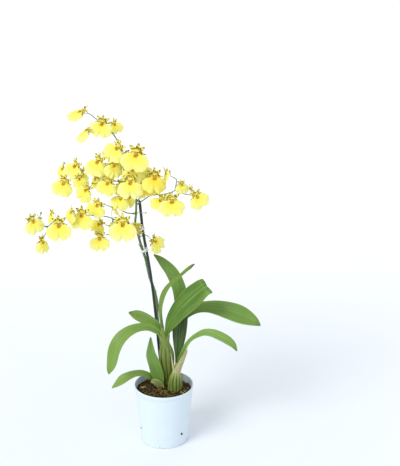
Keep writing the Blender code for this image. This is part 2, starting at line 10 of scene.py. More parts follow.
import bpy
import numpy as np
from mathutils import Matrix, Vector


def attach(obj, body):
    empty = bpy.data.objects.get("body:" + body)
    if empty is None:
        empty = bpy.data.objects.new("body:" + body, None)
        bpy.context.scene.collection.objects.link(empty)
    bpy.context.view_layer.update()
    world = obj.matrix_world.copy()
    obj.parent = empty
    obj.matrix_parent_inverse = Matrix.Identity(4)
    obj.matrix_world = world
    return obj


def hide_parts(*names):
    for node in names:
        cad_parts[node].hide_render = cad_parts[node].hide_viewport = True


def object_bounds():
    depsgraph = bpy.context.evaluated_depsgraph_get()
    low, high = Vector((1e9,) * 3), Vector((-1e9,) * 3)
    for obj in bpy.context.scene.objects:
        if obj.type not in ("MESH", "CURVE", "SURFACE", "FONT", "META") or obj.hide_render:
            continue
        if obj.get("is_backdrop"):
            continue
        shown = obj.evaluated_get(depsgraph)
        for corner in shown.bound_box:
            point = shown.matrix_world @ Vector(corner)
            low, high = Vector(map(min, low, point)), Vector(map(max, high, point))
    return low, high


# Pot
POT_HEIGHT = 0.124
RIM_RADIUS = 0.0600
RIM_BAND = 0.0062
BAND_STEP = 0.0011
BASE_RADIUS = 0.0472
WALL = 0.0012
FLOOR = 0.0015
DRAIN_HOLES = 6
DRAIN_RADIUS = 0.0040
DRAIN_CIRCLE = 0.0300
POT_COLUMNS = 192
LIP_ROUND = 0.0009
INNER_CORNER = 0.0022
FOOT_ROUND = 0.0013
NOTCHES = 8
NOTCH_RISE = 0.0016

# Growing medium
MEDIUM_TOP = 0.1075
MEDIUM_RISE = 0.0030
GAP = 0.0003
CHIP_BATCHES = [(260, 0.0065), (700, 0.0034), (900, 0.0016)]  # how many, and the longest
FIBRES = 70

# Crumbs stuck to the wall: compass way in degrees, height, size
WALL_CRUMBS = [(-157, 0.033, 0.0020), (-45, 0.028, 0.0036), (-100, 0.004, 0.0012)]

# Support and ties
STAKE_RADIUS = 0.0027
TIE_WIRE = 0.0010
STAKE_ROUTE = [
    (0.003, 0.041, 0.024), (-0.003, 0.036, 0.102), (-0.010, 0.031, 0.185), (-0.015, 0.027, 0.255),
    (-0.021, 0.023, 0.323), (-0.029, 0.018, 0.390), (-0.038, 0.014, 0.451), (-0.044, 0.010, 0.520),
]
TIE_HEIGHTS = {"stem_tie_lower": 0.412, "stem_tie_upper": 0.4585}
TIE_TAILS = [((0.66, -0.35, 0.62), 0.0095), ((-0.72, -0.30, -0.58), 0.0105)]  # the way, the length

# Flower spray: routes of points. The stem's radii are evenly spread from its foot to its tip, and a
# branch has one at each end. Its nodes stand at these shares of the stem's length.
STEM_ROUTE = [
    (0.009, 0.043, 0.096), (0.004, 0.046, 0.130), (-0.003, 0.049, 0.172), (-0.010, 0.052, 0.218),
    (-0.014, 0.053, 0.253), (-0.014, 0.051, 0.281), (-0.018, 0.050, 0.305), (-0.023, 0.047, 0.325),
    (-0.027, 0.041, 0.343), (-0.030, 0.034, 0.361), (-0.033, 0.028, 0.382), (-0.038, 0.021, 0.404),
    (-0.044, 0.016, 0.428), (-0.051, 0.012, 0.461), (-0.053, 0.010, 0.474), (-0.051, 0.006, 0.492),
    (-0.050, 0.002, 0.513), (-0.050, 0.000, 0.530), (-0.054, -0.003, 0.546), (-0.061, -0.005, 0.563),
    (-0.068, -0.006, 0.584), (-0.073, -0.005, 0.607), (-0.077, -0.002, 0.627), (-0.084, 0.009, 0.641),
    (-0.094, 0.022, 0.652), (-0.106, 0.029, 0.659), (-0.116, 0.036, 0.666), (-0.126, 0.042, 0.674),
    (-0.134, 0.045, 0.680), (-0.142, 0.046, 0.685),
]
STEM_RADII = (0.0034, 0.0031, 0.0022, 0.0014, 0.0008)
BRANCH_RADII = (0.0011, 0.0007)
STEM_NODES = (0.045, 0.10, 0.155, 0.21, 0.275, 0.335, 0.40, 0.445, 0.52, 0.60, 0.67, 0.74)
BRANCHES = {
    "low_left": [
        (-0.053, 0.012, 0.463), (-0.063, 0.006, 0.472), (-0.069, 0.002, 0.483), (-0.078, 0.000, 0.487),
        (-0.089, -0.004, 0.484), (-0.103, -0.009, 0.492), (-0.119, -0.016, 0.497), (-0.134, -0.024, 0.501),
        (-0.159, -0.036, 0.508), (-0.178, -0.045, 0.507), (-0.193, -0.051, 0.502), (-0.204, -0.054, 0.500),
        (-0.216, -0.055, 0.491), (-0.220, -0.055, 0.478), (-0.223, -0.055, 0.474),
    ],
    "low_left_inner": [
        (-0.089, -0.004, 0.484), (-0.088, -0.006, 0.467), (-0.095, -0.009, 0.457), (-0.108, -0.016, 0.458),
    ],
    "low_left_short": [
        (-0.095, -0.006, 0.487), (-0.099, -0.005, 0.473), (-0.108, -0.004, 0.473),
    ],
    "low_left_end": [
        (-0.216, -0.055, 0.491), (-0.225, -0.058, 0.494), (-0.234, -0.063, 0.502),
    ],
    "mid_left": [
        (-0.051, 0.006, 0.494), (-0.066, 0.004, 0.495), (-0.076, 0.003, 0.500), (-0.085, 0.001, 0.507),
        (-0.095, -0.003, 0.510), (-0.110, -0.009, 0.518),
    ],
    "high_left": [
        (-0.065, -0.006, 0.576), (-0.078, -0.006, 0.579), (-0.087, -0.004, 0.579), (-0.102, 0.002, 0.579),
        (-0.123, 0.017, 0.576), (-0.140, 0.030, 0.573), (-0.156, 0.043, 0.570), (-0.169, 0.054, 0.572),
        (-0.180, 0.063, 0.567), (-0.188, 0.071, 0.563),
    ],
    "high_left_lower": [
        (-0.059, -0.004, 0.558), (-0.076, -0.004, 0.563), (-0.099, 0.002, 0.562), (-0.112, 0.008, 0.556),
        (-0.128, 0.019, 0.551), (-0.138, 0.028, 0.548),
    ],
    "short_left": [
        (-0.070, -0.006, 0.593), (-0.078, 0.000, 0.602), (-0.083, 0.006, 0.604),
    ],
    "right": [
        (-0.050, 0.002, 0.513), (-0.033, -0.003, 0.527), (-0.023, -0.007, 0.535), (-0.008, -0.016, 0.541),
        (0.003, -0.022, 0.544), (0.017, -0.032, 0.551), (0.026, -0.037, 0.557), (0.038, -0.042, 0.555),
        (0.046, -0.046, 0.553), (0.056, -0.048, 0.552),
    ],
    "right_upper": [
        (0.026, -0.037, 0.557), (0.028, -0.034, 0.570), (0.028, -0.028, 0.577), (0.018, -0.015, 0.578),
    ],
    "inner_right": [
        (-0.050, 0.001, 0.519), (-0.039, 0.002, 0.533), (-0.035, 0.002, 0.544), (-0.030, 0.000, 0.558),
        (-0.023, -0.005, 0.575),
    ],
    "low_right": [
        (-0.048, 0.014, 0.439), (-0.042, 0.021, 0.440), (-0.034, 0.031, 0.438), (-0.027, 0.030, 0.434),
    ],
}

# Leaves: the ways the blade faces from base to tip, and stations (x, y, z, half width) on the midrib
LEAVES = {
    "leaf_tall_rear": (
        [(-0.25, -0.95, 0.15), (-0.30, -0.90, 0.30)],
        [
            (0.027, 0.013, 0.180, 0.0050), (0.030, 0.015, 0.201, 0.0105), (0.032, 0.019, 0.230, 0.0150),
            (0.035, 0.024, 0.261, 0.0150), (0.036, 0.029, 0.291, 0.0147), (0.031, 0.035, 0.324, 0.0149),
            (0.018, 0.040, 0.353, 0.0134), (-0.002, 0.048, 0.374, 0.0088), (-0.019, 0.058, 0.385, 0.0015),
        ],
    ),
    "leaf_broad_front": (
        [(-0.30, -0.85, 0.45), (-0.30, -0.85, 0.45), (-0.30, -0.85, 0.45), (-0.20, -0.80, 0.55),
         (-0.10, -0.75, 0.65), (0.50, -0.20, 0.85), (0.54, 0.61, 0.00)],
        [
            (0.008, 0.003, 0.241, 0.0062), (0.018, 0.000, 0.266, 0.0142), (0.031, -0.006, 0.290, 0.0190),
            (0.044, -0.014, 0.309, 0.0216), (0.058, -0.021, 0.327, 0.0226), (0.071, -0.027, 0.342, 0.0212),
            (0.080, -0.031, 0.352, 0.0192), (0.087, -0.027, 0.354, 0.0172), (0.088, -0.018, 0.343, 0.0120),
            (0.082, -0.013, 0.329, 0.0015),
        ],
    ),
    "leaf_thin_upright": (
        [(-0.90, -0.30, 0.30), (-0.60, -0.30, 0.75)],
        [
            (-0.001, 0.008, 0.246, 0.0060), (-0.004, 0.004, 0.277, 0.0100), (-0.002, 0.001, 0.305, 0.0118),
            (0.005, -0.003, 0.330, 0.0108), (0.017, -0.007, 0.350, 0.0076), (0.034, -0.009, 0.367, 0.0052),
            (0.048, -0.012, 0.382, 0.0053), (0.056, -0.014, 0.389, 0.0052), (0.062, -0.016, 0.396, 0.0018),
        ],
    ),
    "leaf_right_arching": (
        [(0.00, -0.80, 0.60), (0.30, -0.70, 0.70)],
        [
            (0.009, 0.021, 0.229, 0.0040), (0.021, 0.030, 0.241, 0.0065), (0.035, 0.039, 0.252, 0.0081),
            (0.051, 0.040, 0.266, 0.0094), (0.069, 0.034, 0.278, 0.0107), (0.089, 0.031, 0.282, 0.0123),
            (0.109, 0.026, 0.282, 0.0156), (0.131, 0.019, 0.279, 0.0190), (0.151, 0.013, 0.274, 0.0200),
            (0.168, 0.008, 0.268, 0.0165), (0.183, 0.003, 0.262, 0.0101), (0.194, 0.001, 0.255, 0.0015),
        ],
    ),
    "leaf_right_lower": (
        [(-0.50, -0.80, 0.30), (0.50, -0.40, 0.80)],
        [
            (0.027, -0.001, 0.167, 0.0040), (0.034, -0.004, 0.182, 0.0060), (0.041, -0.008, 0.203, 0.0056),
            (0.048, -0.012, 0.221, 0.0045), (0.056, -0.015, 0.233, 0.0045), (0.067, -0.019, 0.243, 0.0055),
            (0.081, -0.023, 0.251, 0.0070), (0.096, -0.029, 0.253, 0.0088), (0.111, -0.034, 0.249, 0.0108),
            (0.126, -0.041, 0.243, 0.0110), (0.138, -0.046, 0.235, 0.0083), (0.146, -0.051, 0.224, 0.0015),
        ],
    ),
    "leaf_left_short": (
        [(-0.20, -0.80, 0.50), (-0.15, -0.75, 0.65)],
        [
            (-0.003, 0.014, 0.236, 0.0045), (-0.015, 0.018, 0.248, 0.0085), (-0.029, 0.024, 0.254, 0.0112),
            (-0.044, 0.031, 0.259, 0.0118), (-0.058, 0.038, 0.262, 0.0092), (-0.071, 0.045, 0.263, 0.0015),
        ],
    ),
    "leaf_left_arching": (
        [(0.10, -0.75, 0.65), (-0.75, -0.60, 0.20)],
        [
            (-0.002, 0.005, 0.230, 0.0045), (-0.015, -0.001, 0.245, 0.0068),
            (-0.030, -0.007, 0.255, 0.0075), (-0.048, -0.014, 0.258, 0.0090),
            (-0.065, -0.022, 0.255, 0.0110), (-0.080, -0.029, 0.246, 0.0130),
            (-0.090, -0.036, 0.234, 0.0145), (-0.097, -0.041, 0.217, 0.0155),
            (-0.101, -0.046, 0.197, 0.0140), (-0.106, -0.049, 0.181, 0.0085),
            (-0.108, -0.052, 0.173, 0.0015),
        ],
    ),
    "leaf_small_upright": (
        [(-0.20, -0.95, 0.20), (-0.10, -0.95, 0.30)],
        [
            (-0.006, 0.013, 0.112, 0.0065), (-0.013, 0.009, 0.141, 0.0132), (-0.019, 0.006, 0.166, 0.0124),
            (-0.025, 0.005, 0.187, 0.0107), (-0.026, 0.005, 0.206, 0.0065), (-0.026, 0.006, 0.226, 0.0015),
        ],
    ),
    "leaf_lower_left": (
        [(0.00, -0.60, 0.80), (-0.30, -0.45, 0.85)],
        [
            (-0.020, 0.018, 0.121, 0.0040), (-0.030, 0.013, 0.135, 0.0066), (-0.042, 0.009, 0.143, 0.0070),
            (-0.056, 0.005, 0.145, 0.0078), (-0.070, 0.001, 0.142, 0.0101), (-0.085, 0.000, 0.133, 0.0113),
            (-0.097, 0.001, 0.122, 0.0071), (-0.106, 0.002, 0.114, 0.0015),
        ],
    ),
    "bract_basal": (
        [(-0.30, -0.80, 0.50), (-0.30, -0.80, 0.50)],
        [
            (-0.007, 0.006, 0.116, 0.0068), (-0.013, 0.003, 0.124, 0.0074),
            (-0.020, 0.001, 0.129, 0.0056), (-0.027, 0.000, 0.128, 0.0012),
        ],
    ),
}

# Leaf looks: fold in degrees, the share of the length that stays closed, and tone. On the leaves the first
# tone, paler, is mostly painted sheen and partly their own spread of green
LEAF_LOOKS = {
    # leaf_tall_rear's second tone of -0.95 paints shadow over the lower half of its blade, the shade behind
    # the broad front leaf.
    "leaf_tall_rear": (12, 0.13, (0.28, -0.95, 0.3)),
    "leaf_broad_front": (10, 0.16, (0.08, 0.0, 0.2)),
    "leaf_thin_upright": (18, 0.22, (0.06, 0.22, 1.0)),
    "leaf_right_arching": (11, 0.13, (0.26, 0.0, 0.3)),
    "leaf_right_lower": (16, 0.30, (0.48, 0.0, 0.3)),
    "leaf_left_short": (14, 0.18, (0.10, 0.10, 0.5)),
    "leaf_left_arching": (13, 0.13, (0.32, 0.10, 0.3)),
    "leaf_small_upright": (12, 0.13, (0.38, 0.0, 0.2)),
    "leaf_lower_left": (12, 0.13, (0.40, 0.16, 0.2)),
    "bract_basal": (14, 0.20, (0.80, 0.0, 0.0)),
}
BASE_FOLD = 62
LEAF_THICKNESS = 0.0009
BRACT_THICKNESS = 0.0004
LEAF_GRID = (84, 23)

# Where each blade's clasped foot starts, down on its bulb: stations that lead up to the ones above
LEAF_FEET = {
    "leaf_tall_rear": [(0.0262, 0.002, 0.158, 0.0045), (0.0265, 0.007, 0.169, 0.0046)],
    "leaf_broad_front": [(0.003, 0.009, 0.214, 0.0055), (0.0045, 0.006, 0.228, 0.0058)],
    "leaf_thin_upright": [(0.003, 0.011, 0.212, 0.0050), (0.001, 0.010, 0.230, 0.0050)],
    "leaf_right_arching": [(0.003, 0.013, 0.210, 0.0050), (0.0045, 0.016, 0.220, 0.0045)],
    "leaf_right_lower": [(0.0262, -0.0005, 0.152, 0.0045), (0.0266, -0.001, 0.160, 0.0048)],
    "leaf_left_short": [(0.002, 0.013, 0.210, 0.0050), (0.000, 0.0135, 0.224, 0.0050)],
    "leaf_left_arching": [(0.002, 0.009, 0.208, 0.0055), (0.000, 0.0075, 0.220, 0.0053)],
    "leaf_small_upright": [(-0.004, 0.015, 0.103, 0.0050)],
    "leaf_lower_left": [(-0.016, 0.021, 0.106, 0.0038), (-0.017, 0.020, 0.114, 0.0038)],
    "bract_basal": [(-0.002, 0.010, 0.105, 0.0050)],
}

# Sheaths wrapped round the necks: foot, tip, the way they face, radius, half the angle they wrap, tone
NECK_SHEATHS = [
    ((0.0045, 0.011, 0.206), (-0.004, 0.006, 0.252), (0.1, -1.0, 0.0), 0.0064, 100, (1.00, 0.0, 0.0)),
    ((0.0050, 0.012, 0.203), (0.006, 0.010, 0.236), (0.9, -0.6, 0.0), 0.0058, 95, (0.90, 0.0, 0.0)),
    ((0.0040, 0.012, 0.203), (-0.008, 0.013, 0.238), (-0.9, -0.5, 0.0), 0.0058, 95, (0.95, 0.0, 0.0)),
    ((0.0262, -0.0008, 0.148), (0.0262, -0.001, 0.176), (-0.2, -1.0, 0.0), 0.0050, 105, (0.90, 0.0, 0.0)),
    ((0.0265, -0.0008, 0.152), (0.0430, -0.009, 0.212), (0.6, -0.8, 0.0), 0.0070, 95, (0.45, 0.30, 0.0)),
    ((0.0240, 0.0000, 0.140), (0.0170, 0.002, 0.196), (-0.6, -0.8, 0.0), 0.0036, 40, (0.15, 0.15, 0.0)),
]

# Pseudobulbs: middle of the base, top of the neck, half width, depth as a part of the width
BULBS = {
    "pseudobulb_rear": ((0.010, 0.024, 0.099), (0.003, 0.011, 0.222), 0.0145, 0.58),
    "pseudobulb_front": ((0.0205, -0.002, 0.099), (0.0265, -0.001, 0.163), 0.0142, 0.66),
}
BULB_PROFILES = {
    "pseudobulb_rear": [
        (0.00, 0.50), (0.10, 0.60), (0.22, 0.72), (0.35, 0.86), (0.50, 1.01), (0.64, 1.08), (0.76, 0.98),
        (0.88, 0.66), (1.00, 0.36),
    ],
    "pseudobulb_front": [
        (0.00, 0.45), (0.08, 0.78), (0.22, 0.99), (0.40, 1.02), (0.58, 0.92), (0.75, 0.70), (0.90, 0.44),
        (1.00, 0.32),
    ],
}

# Flowers: crest (x, y, z), then turn, nod and tilt in degrees, and size against a full flower
FLOWERS = [
    (-0.153, 0.044, 0.688, -72, -52, 8, 1.12), (-0.139, 0.011, 0.662, -82, -34, 5, 1.10),
    (-0.112, 0.010, 0.678, -5, 8, 12, 1.10), (-0.092, 0.047, 0.663, 20, -10, -15, 0.75),
    (-0.081, -0.019, 0.638, -30, -5, 35, 1.10), (-0.047, -0.028, 0.630, 0, -5, 10, 1.35),
    (-0.121, -0.002, 0.605, -20, -8, 15, 1.10), (-0.091, -0.011, 0.602, 30, 0, 8, 1.00),
    (-0.056, -0.016, 0.596, 5, 0, -8, 1.15), (-0.034, -0.014, 0.564, 20, 0, -5, 1.05),
    (-0.013, -0.028, 0.583, 10, -8, 5, 1.20), (-0.059, -0.032, 0.575, 0, -8, 0, 1.25),
    (-0.168, 0.045, 0.579, -35, -10, 20, 1.05), (-0.196, 0.080, 0.560, -70, 0, 30, 0.90),
    (-0.191, 0.035, 0.548, -10, -10, 15, 1.08), (-0.158, 0.063, 0.556, 60, 0, 10, 0.90),
    (-0.129, 0.036, 0.557, -50, 0, -10, 0.85), (-0.110, 0.032, 0.563, 70, 0, 20, 0.85),
    (-0.145, 0.009, 0.543, -40, -5, 25, 1.00), (-0.102, -0.014, 0.566, -15, 0, 15, 1.00),
    (-0.078, -0.012, 0.534, -20, 0, 15, 0.95), (-0.122, -0.025, 0.525, -20, 0, 20, 1.00),
    (-0.169, -0.058, 0.523, -60, 0, 20, 0.85), (-0.151, -0.049, 0.515, -10, -5, 5, 1.15),
    (-0.193, -0.078, 0.506, 5, -5, 0, 1.20), (-0.210, -0.032, 0.509, -60, 0, -20, 0.75),
    (-0.243, -0.075, 0.512, 35, -10, -10, 1.00), (-0.234, -0.041, 0.500, 110, 0, -10, 0.75),
    (-0.227, -0.068, 0.467, 55, -5, 5, 0.90), (-0.120, -0.011, 0.480, -40, -5, 30, 0.90),
    (-0.120, -0.033, 0.460, 0, 0, 0, 1.00), (-0.075, -0.035, 0.491, 0, -8, 0, 1.35),
    (-0.093, 0.012, 0.503, 120, 0, -5, 0.75), (-0.001, -0.033, 0.538, -20, 0, 20, 0.90),
    (0.020, -0.059, 0.548, 5, 12, 0, 1.25), (0.038, -0.043, 0.573, 30, 0, -5, 0.70),
    (0.009, -0.003, 0.582, -60, 0, -40, 0.75), (0.066, -0.057, 0.555, 25, -5, -25, 1.00),
    (0.056, -0.031, 0.558, 110, 0, -15, 0.75), (-0.017, 0.018, 0.432, 55, -5, -28, 1.00),
    (-0.062, 0.017, 0.525, -50, 0, -5, 0.80),
]
SHADED_LIP_FLOWERS = {10: 0.55, 11: 0.55, 9: 0.2, 30: 0.4, 18: 0.4}  # flower number: orange-yellow painted on as shade, for lips seen from behind in shadow
LIP_REACH = 0.0242
LIP_SPREAD = 112
LIP_TILT = 20

# Blooms further in among the others: the same columns
INNER_BLOOMS = [
    (-0.072, 0.012, 0.608, -10, 0, 10, 1.00), (-0.040, 0.010, 0.588, 15, 0, -10, 1.05),
    (-0.104, 0.022, 0.580, -20, 0, 15, 0.90), (-0.133, 0.030, 0.585, -30, 0, 10, 0.80),
    (-0.079, 0.010, 0.553, 10, 0, 0, 0.80), (-0.022, -0.010, 0.560, 20, 0, -10, 0.85),
    (-0.095, 0.020, 0.619, -25, 0, 25, 0.85), (-0.161, 0.030, 0.558, 15, 0, -5, 0.75),
    (-0.087, -0.010, 0.478, -30, 0, 25, 0.70),
]

# Half-open buds and closed ones: (x, y, z) and size
OPENING_BUDS = [
    (-0.050, -0.002, 0.462, 1.4), (-0.054, 0.000, 0.470, 1.1), (-0.044, 0.001, 0.452, 1.0),
    (-0.046, -0.003, 0.470, 1.1),
]
BUD_LENGTH = 0.0055
BUDS = [
    (-0.064, -0.010, 0.627, 1.0), (-0.114, 0.015, 0.589, 0.9), (-0.104, 0.010, 0.578, 0.9),
    (-0.228, -0.062, 0.519, 1.0), (-0.228, -0.062, 0.509, 0.8), (-0.033, -0.002, 0.498, 0.7),
    (-0.0485, 0.003, 0.462, 1.2), (-0.053, 0.003, 0.469, 1.0), (-0.044, 0.004, 0.456, 0.9),
    (-0.240, -0.066, 0.508, 0.8), (0.016, -0.013, 0.586, 0.8), (-0.147, 0.050, 0.694, 0.8),
    (-0.192, 0.075, 0.571, 0.8), (0.062, -0.047, 0.548, 0.7),
]

# Camera and light
CAMERA_PLACE = (0.0732, -2.65, 1.542)
CAMERA_PITCH = 22.3
CAMERA_LENS = 113.7
STAGE_SIZE = 24.0
LAMPS = [
    # name, the way it comes from, strength, how wide it looks in degrees, colour
    ("key", (-1.7, -1.9, 2.2), 1.62, 30, (1.0, 0.985, 0.96)),
    ("fill", (2.0, -1.6, 1.3), 0.14, 60, (0.93, 0.97, 1.0)),
    ("back", (0.3, 2.2, 2.4), 0.25, 50, (1.0, 1.0, 1.0)),
]
SKY_COLOUR = (0.93, 0.965, 1.0)
SKY_STRENGTH = 0.78


def unit(rows):
    """Each row at length 1."""
    return rows / np.linalg.norm(rows, axis=-1, keepdims=True)


def smooth_route(points, count):
    """Count points on the Catmull-Rom curve through the given rows, evenly spaced by row number."""
    rows = np.array(points, dtype=float)
    padded = np.vstack([2 * rows[0] - rows[1], rows, 2 * rows[-1] - rows[-2]])
    at = np.linspace(0, len(rows) - 1, count)
    first = np.minimum(at.astype(int), len(rows) - 2)
    t = (at - first)[:, None]
    a, b, c, d = (padded[first + i] for i in range(4))
    return 0.5 * (2 * b + (c - a) * t + (2 * a - 5 * b + 4 * c - d) * t**2 + (3 * b - a - 3 * c + d) * t**3)


def between(values, shares):
    """Rows at the shares 0 to 1 of a list whose rows are evenly spread."""
    rows = np.array(values, dtype=float)
    at = np.linspace(0, 1, len(rows))
    return np.stack([np.interp(shares, at, column) for column in rows.T], -1)


def frame_along(path, facing):
    """Along the path, side = along x facing, and lift = side x along, all of length 1."""
    along = unit(np.gradient(path, axis=0))
    side = unit(np.cross(along, facing))
    return along, side, np.cross(side, along)


def turned(yaw, pitch, roll):
    """Turning matrices Rz(yaw) Rx(pitch) Ry(roll), for angles in radians that may be arrays."""
    yaw, pitch, roll = np.broadcast_arrays(yaw, pitch, roll)
    one, none = np.ones(yaw.shape), np.zeros(yaw.shape)

    def matrix(*rows):
        return np.stack([np.stack(row, -1) for row in rows], -2)

    about_z = matrix(
        (np.cos(yaw), -np.sin(yaw), none), (np.sin(yaw), np.cos(yaw), none), (none, none, one)
    )
    about_x = matrix(
        (one, none, none), (none, np.cos(pitch), -np.sin(pitch)), (none, np.sin(pitch), np.cos(pitch))
    )
    about_y = matrix(
        (np.cos(roll), none, np.sin(roll)), (none, one, none), (-np.sin(roll), none, np.cos(roll))
    )
    return about_z @ about_x @ about_y


def bumps(points, span, seed):
    """A smooth height of about -1 to 1: eight sine waves in random directions, about span long, summed."""
    draw = np.random.default_rng(seed)
    ways = unit(draw.normal(size=(8, 3))) * draw.uniform(0.7, 1.4, (8, 1)) * 2 * np.pi / span
    return np.sin(points @ ways.T + draw.uniform(0, 2 * np.pi, 8)).sum(-1) / 4


def lattice(rows, cols, wrap=False):
    """Quads between the neighbours of a grid, facing row direction x column direction."""
    r = np.arange(rows - 1)[:, None] * cols
    c = np.arange(cols if wrap else cols - 1)
    d = (c + 1) % cols
    return np.stack([r + c, r + cols + c, r + cols + d, r + d], -1).reshape(-1, 4)


def ringed(grid, around, along, under=0.0):
    """A patch of closed rings, row by row, with a fan at each end round the middle of its last ring."""
    rows, cols = grid.shape[:2]
    n, c = rows * cols, np.arange(cols)
    d = (c + 1) % cols
    fans = [np.stack([c * 0 + n, c, d], -1), np.stack([c * 0 + n + 1, n - cols + d, n - cols + c], -1)]
    points = np.concatenate([grid.reshape(-1, 3), grid[[0, -1]].mean(1)])
    marks = np.stack(np.broadcast_arrays(around, along, under, np.zeros((rows, cols)))[:3], -1)
    marks = np.concatenate([marks.reshape(-1, 3), marks[[0, -1]].mean(1)])
    return points, [lattice(rows, cols, True), *fans], marks


def sheet(front, thickness, across, along):
    """A patch of the grid and a copy of it thickness behind, joined round the rim. The front faces
    column direction x row direction."""
    rows, cols = front.shape[:2]
    n = rows * cols
    facing = unit(np.cross(np.gradient(front, axis=1), np.gradient(front, axis=0)))
    back = front - facing * thickness
    index = np.arange(n).reshape(rows, cols)
    rim = np.concatenate([index[0, :-1], index[:-1, -1], index[-1, :0:-1], index[:0:-1, 0]])
    after = np.roll(rim, -1)
    quads = lattice(rows, cols)
    faces = [quads[:, ::-1], quads + n, np.stack([rim, rim + n, after + n, after], -1)]
    flat = np.stack(np.broadcast_arrays(across, along, np.zeros((rows, cols))), -1).reshape(-1, 3)
    marks = np.concatenate([flat, flat + (0, 0, 1)])
    return np.concatenate([front.reshape(-1, 3), back.reshape(-1, 3)]), faces, marks


def tube(path, radii, sides=12, facing=None):
    """Rings round a path: centre + radius * (cos a * side + sin a * lift)."""
    path = np.asarray(path, dtype=float)
    if facing is None:
        facing = np.eye(3)[np.argmin(np.abs(path[-1] - path[0]))]
    _, side, lift = frame_along(path, facing)
    angle = np.linspace(0, 2 * np.pi, sides, endpoint=False)[:, None]
    ring = np.cos(angle) * side[:, None] + np.sin(angle) * lift[:, None]
    grid = path[:, None] + np.broadcast_to(radii, len(path))[:, None, None] * ring
    return ringed(grid, np.linspace(0, 1, sides), np.linspace(0, 1, len(path))[:, None])


def lathe(profile, cols, under=0.0):
    """(radius, height) rows turned round Z. An outer side runs from top to bottom."""
    angle = np.linspace(0, 2 * np.pi, cols, endpoint=False)
    radius, height = profile[:, :1], profile[:, 1:2]
    grid = np.stack([radius * np.cos(angle), radius * np.sin(angle), height + 0 * angle], -1)
    return ringed(grid, angle / (2 * np.pi), height / POT_HEIGHT, under)


def pebble(centre, sizes, rows=9, cols=12, rough=0.0, seed=0, matrix=None):
    """A closed egg: centre + sizes * (sin p cos a, sin p sin a, cos p) * (1 + rough * bumps)."""
    polar = np.linspace(0, np.pi, rows + 2)[1:-1, None]
    angle = np.linspace(0, 2 * np.pi, cols, endpoint=False)
    flat = np.sin(polar)
    way = np.stack([flat * np.cos(angle), flat * np.sin(angle), np.cos(polar) + 0 * angle], -1)
    grid = way * np.asarray(sizes) * (1 + rough * bumps(way, 1.6, seed))[..., None]
    if matrix is not None:
        grid = grid @ matrix.T
    return ringed(grid + np.asarray(centre), angle / (2 * np.pi), polar / np.pi)


def moved(patch, matrix, place, scale=1.0):
    """The patch scaled, turned by the matrix, then shifted to place."""
    points, faces, marks = patch
    return points * scale @ matrix.T + np.asarray(place), faces, marks


class Piece:
    """One mesh gathered from patches. Each patch has its own tone, three numbers for the material."""

    def __init__(self):
        self.points, self.faces, self.marks, self.tones, self.count = [], [], [], [], 0

    def add(self, patch, tone=(0.0, 0.0, 0.0)):
        points, faces, marks = patch
        for block in faces:
            self.faces.extend((block + self.count).tolist())
        self.points.append(points)
        self.marks.append(marks)
        self.tones.append(np.broadcast_to(np.asarray(tone, dtype=float), marks.shape))
        self.count += len(points)

    def make(self, name, material, slot, *nodes, sharp=50):
        """The mesh object, riding on the root body and standing for the given CAD nodes."""
        mesh = bpy.data.meshes.new(name)
        mesh.from_pydata(np.concatenate(self.points).tolist(), [], self.faces)
        for label, rows in (("mark", self.marks), ("tone", self.tones)):
            layer = mesh.attributes.new(label, "FLOAT_VECTOR", "POINT")
            layer.data.foreach_set("vector", np.concatenate(rows).astype(np.float32).ravel())
        mesh.shade_smooth()
        mesh.set_sharp_from_angle(angle=math.radians(sharp))
        mesh.materials.append(material)
        obj = bpy.data.objects.new(name, mesh)
        bpy.context.scene.collection.objects.link(obj)
        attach(obj, "root")
        if nodes:
            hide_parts(*nodes)
        return obj


class Value:
    """A socket of a finish, on which arithmetic adds Math nodes."""

    def __init__(self, finish, socket):
        self.finish, self.socket = finish, socket

    def __add__(self, other):
        return self.finish.math("ADD", self, other)

    def __radd__(self, other):
        return self.finish.math("ADD", other, self)

    def __sub__(self, other):
        return self.finish.math("SUBTRACT", self, other)

    def __rsub__(self, other):
        return self.finish.math("SUBTRACT", other, self)

    def __mul__(self, other):
        return self.finish.math("MULTIPLY", self, other)

    def __abs__(self):
        return self.finish.math("ABSOLUTE", self)


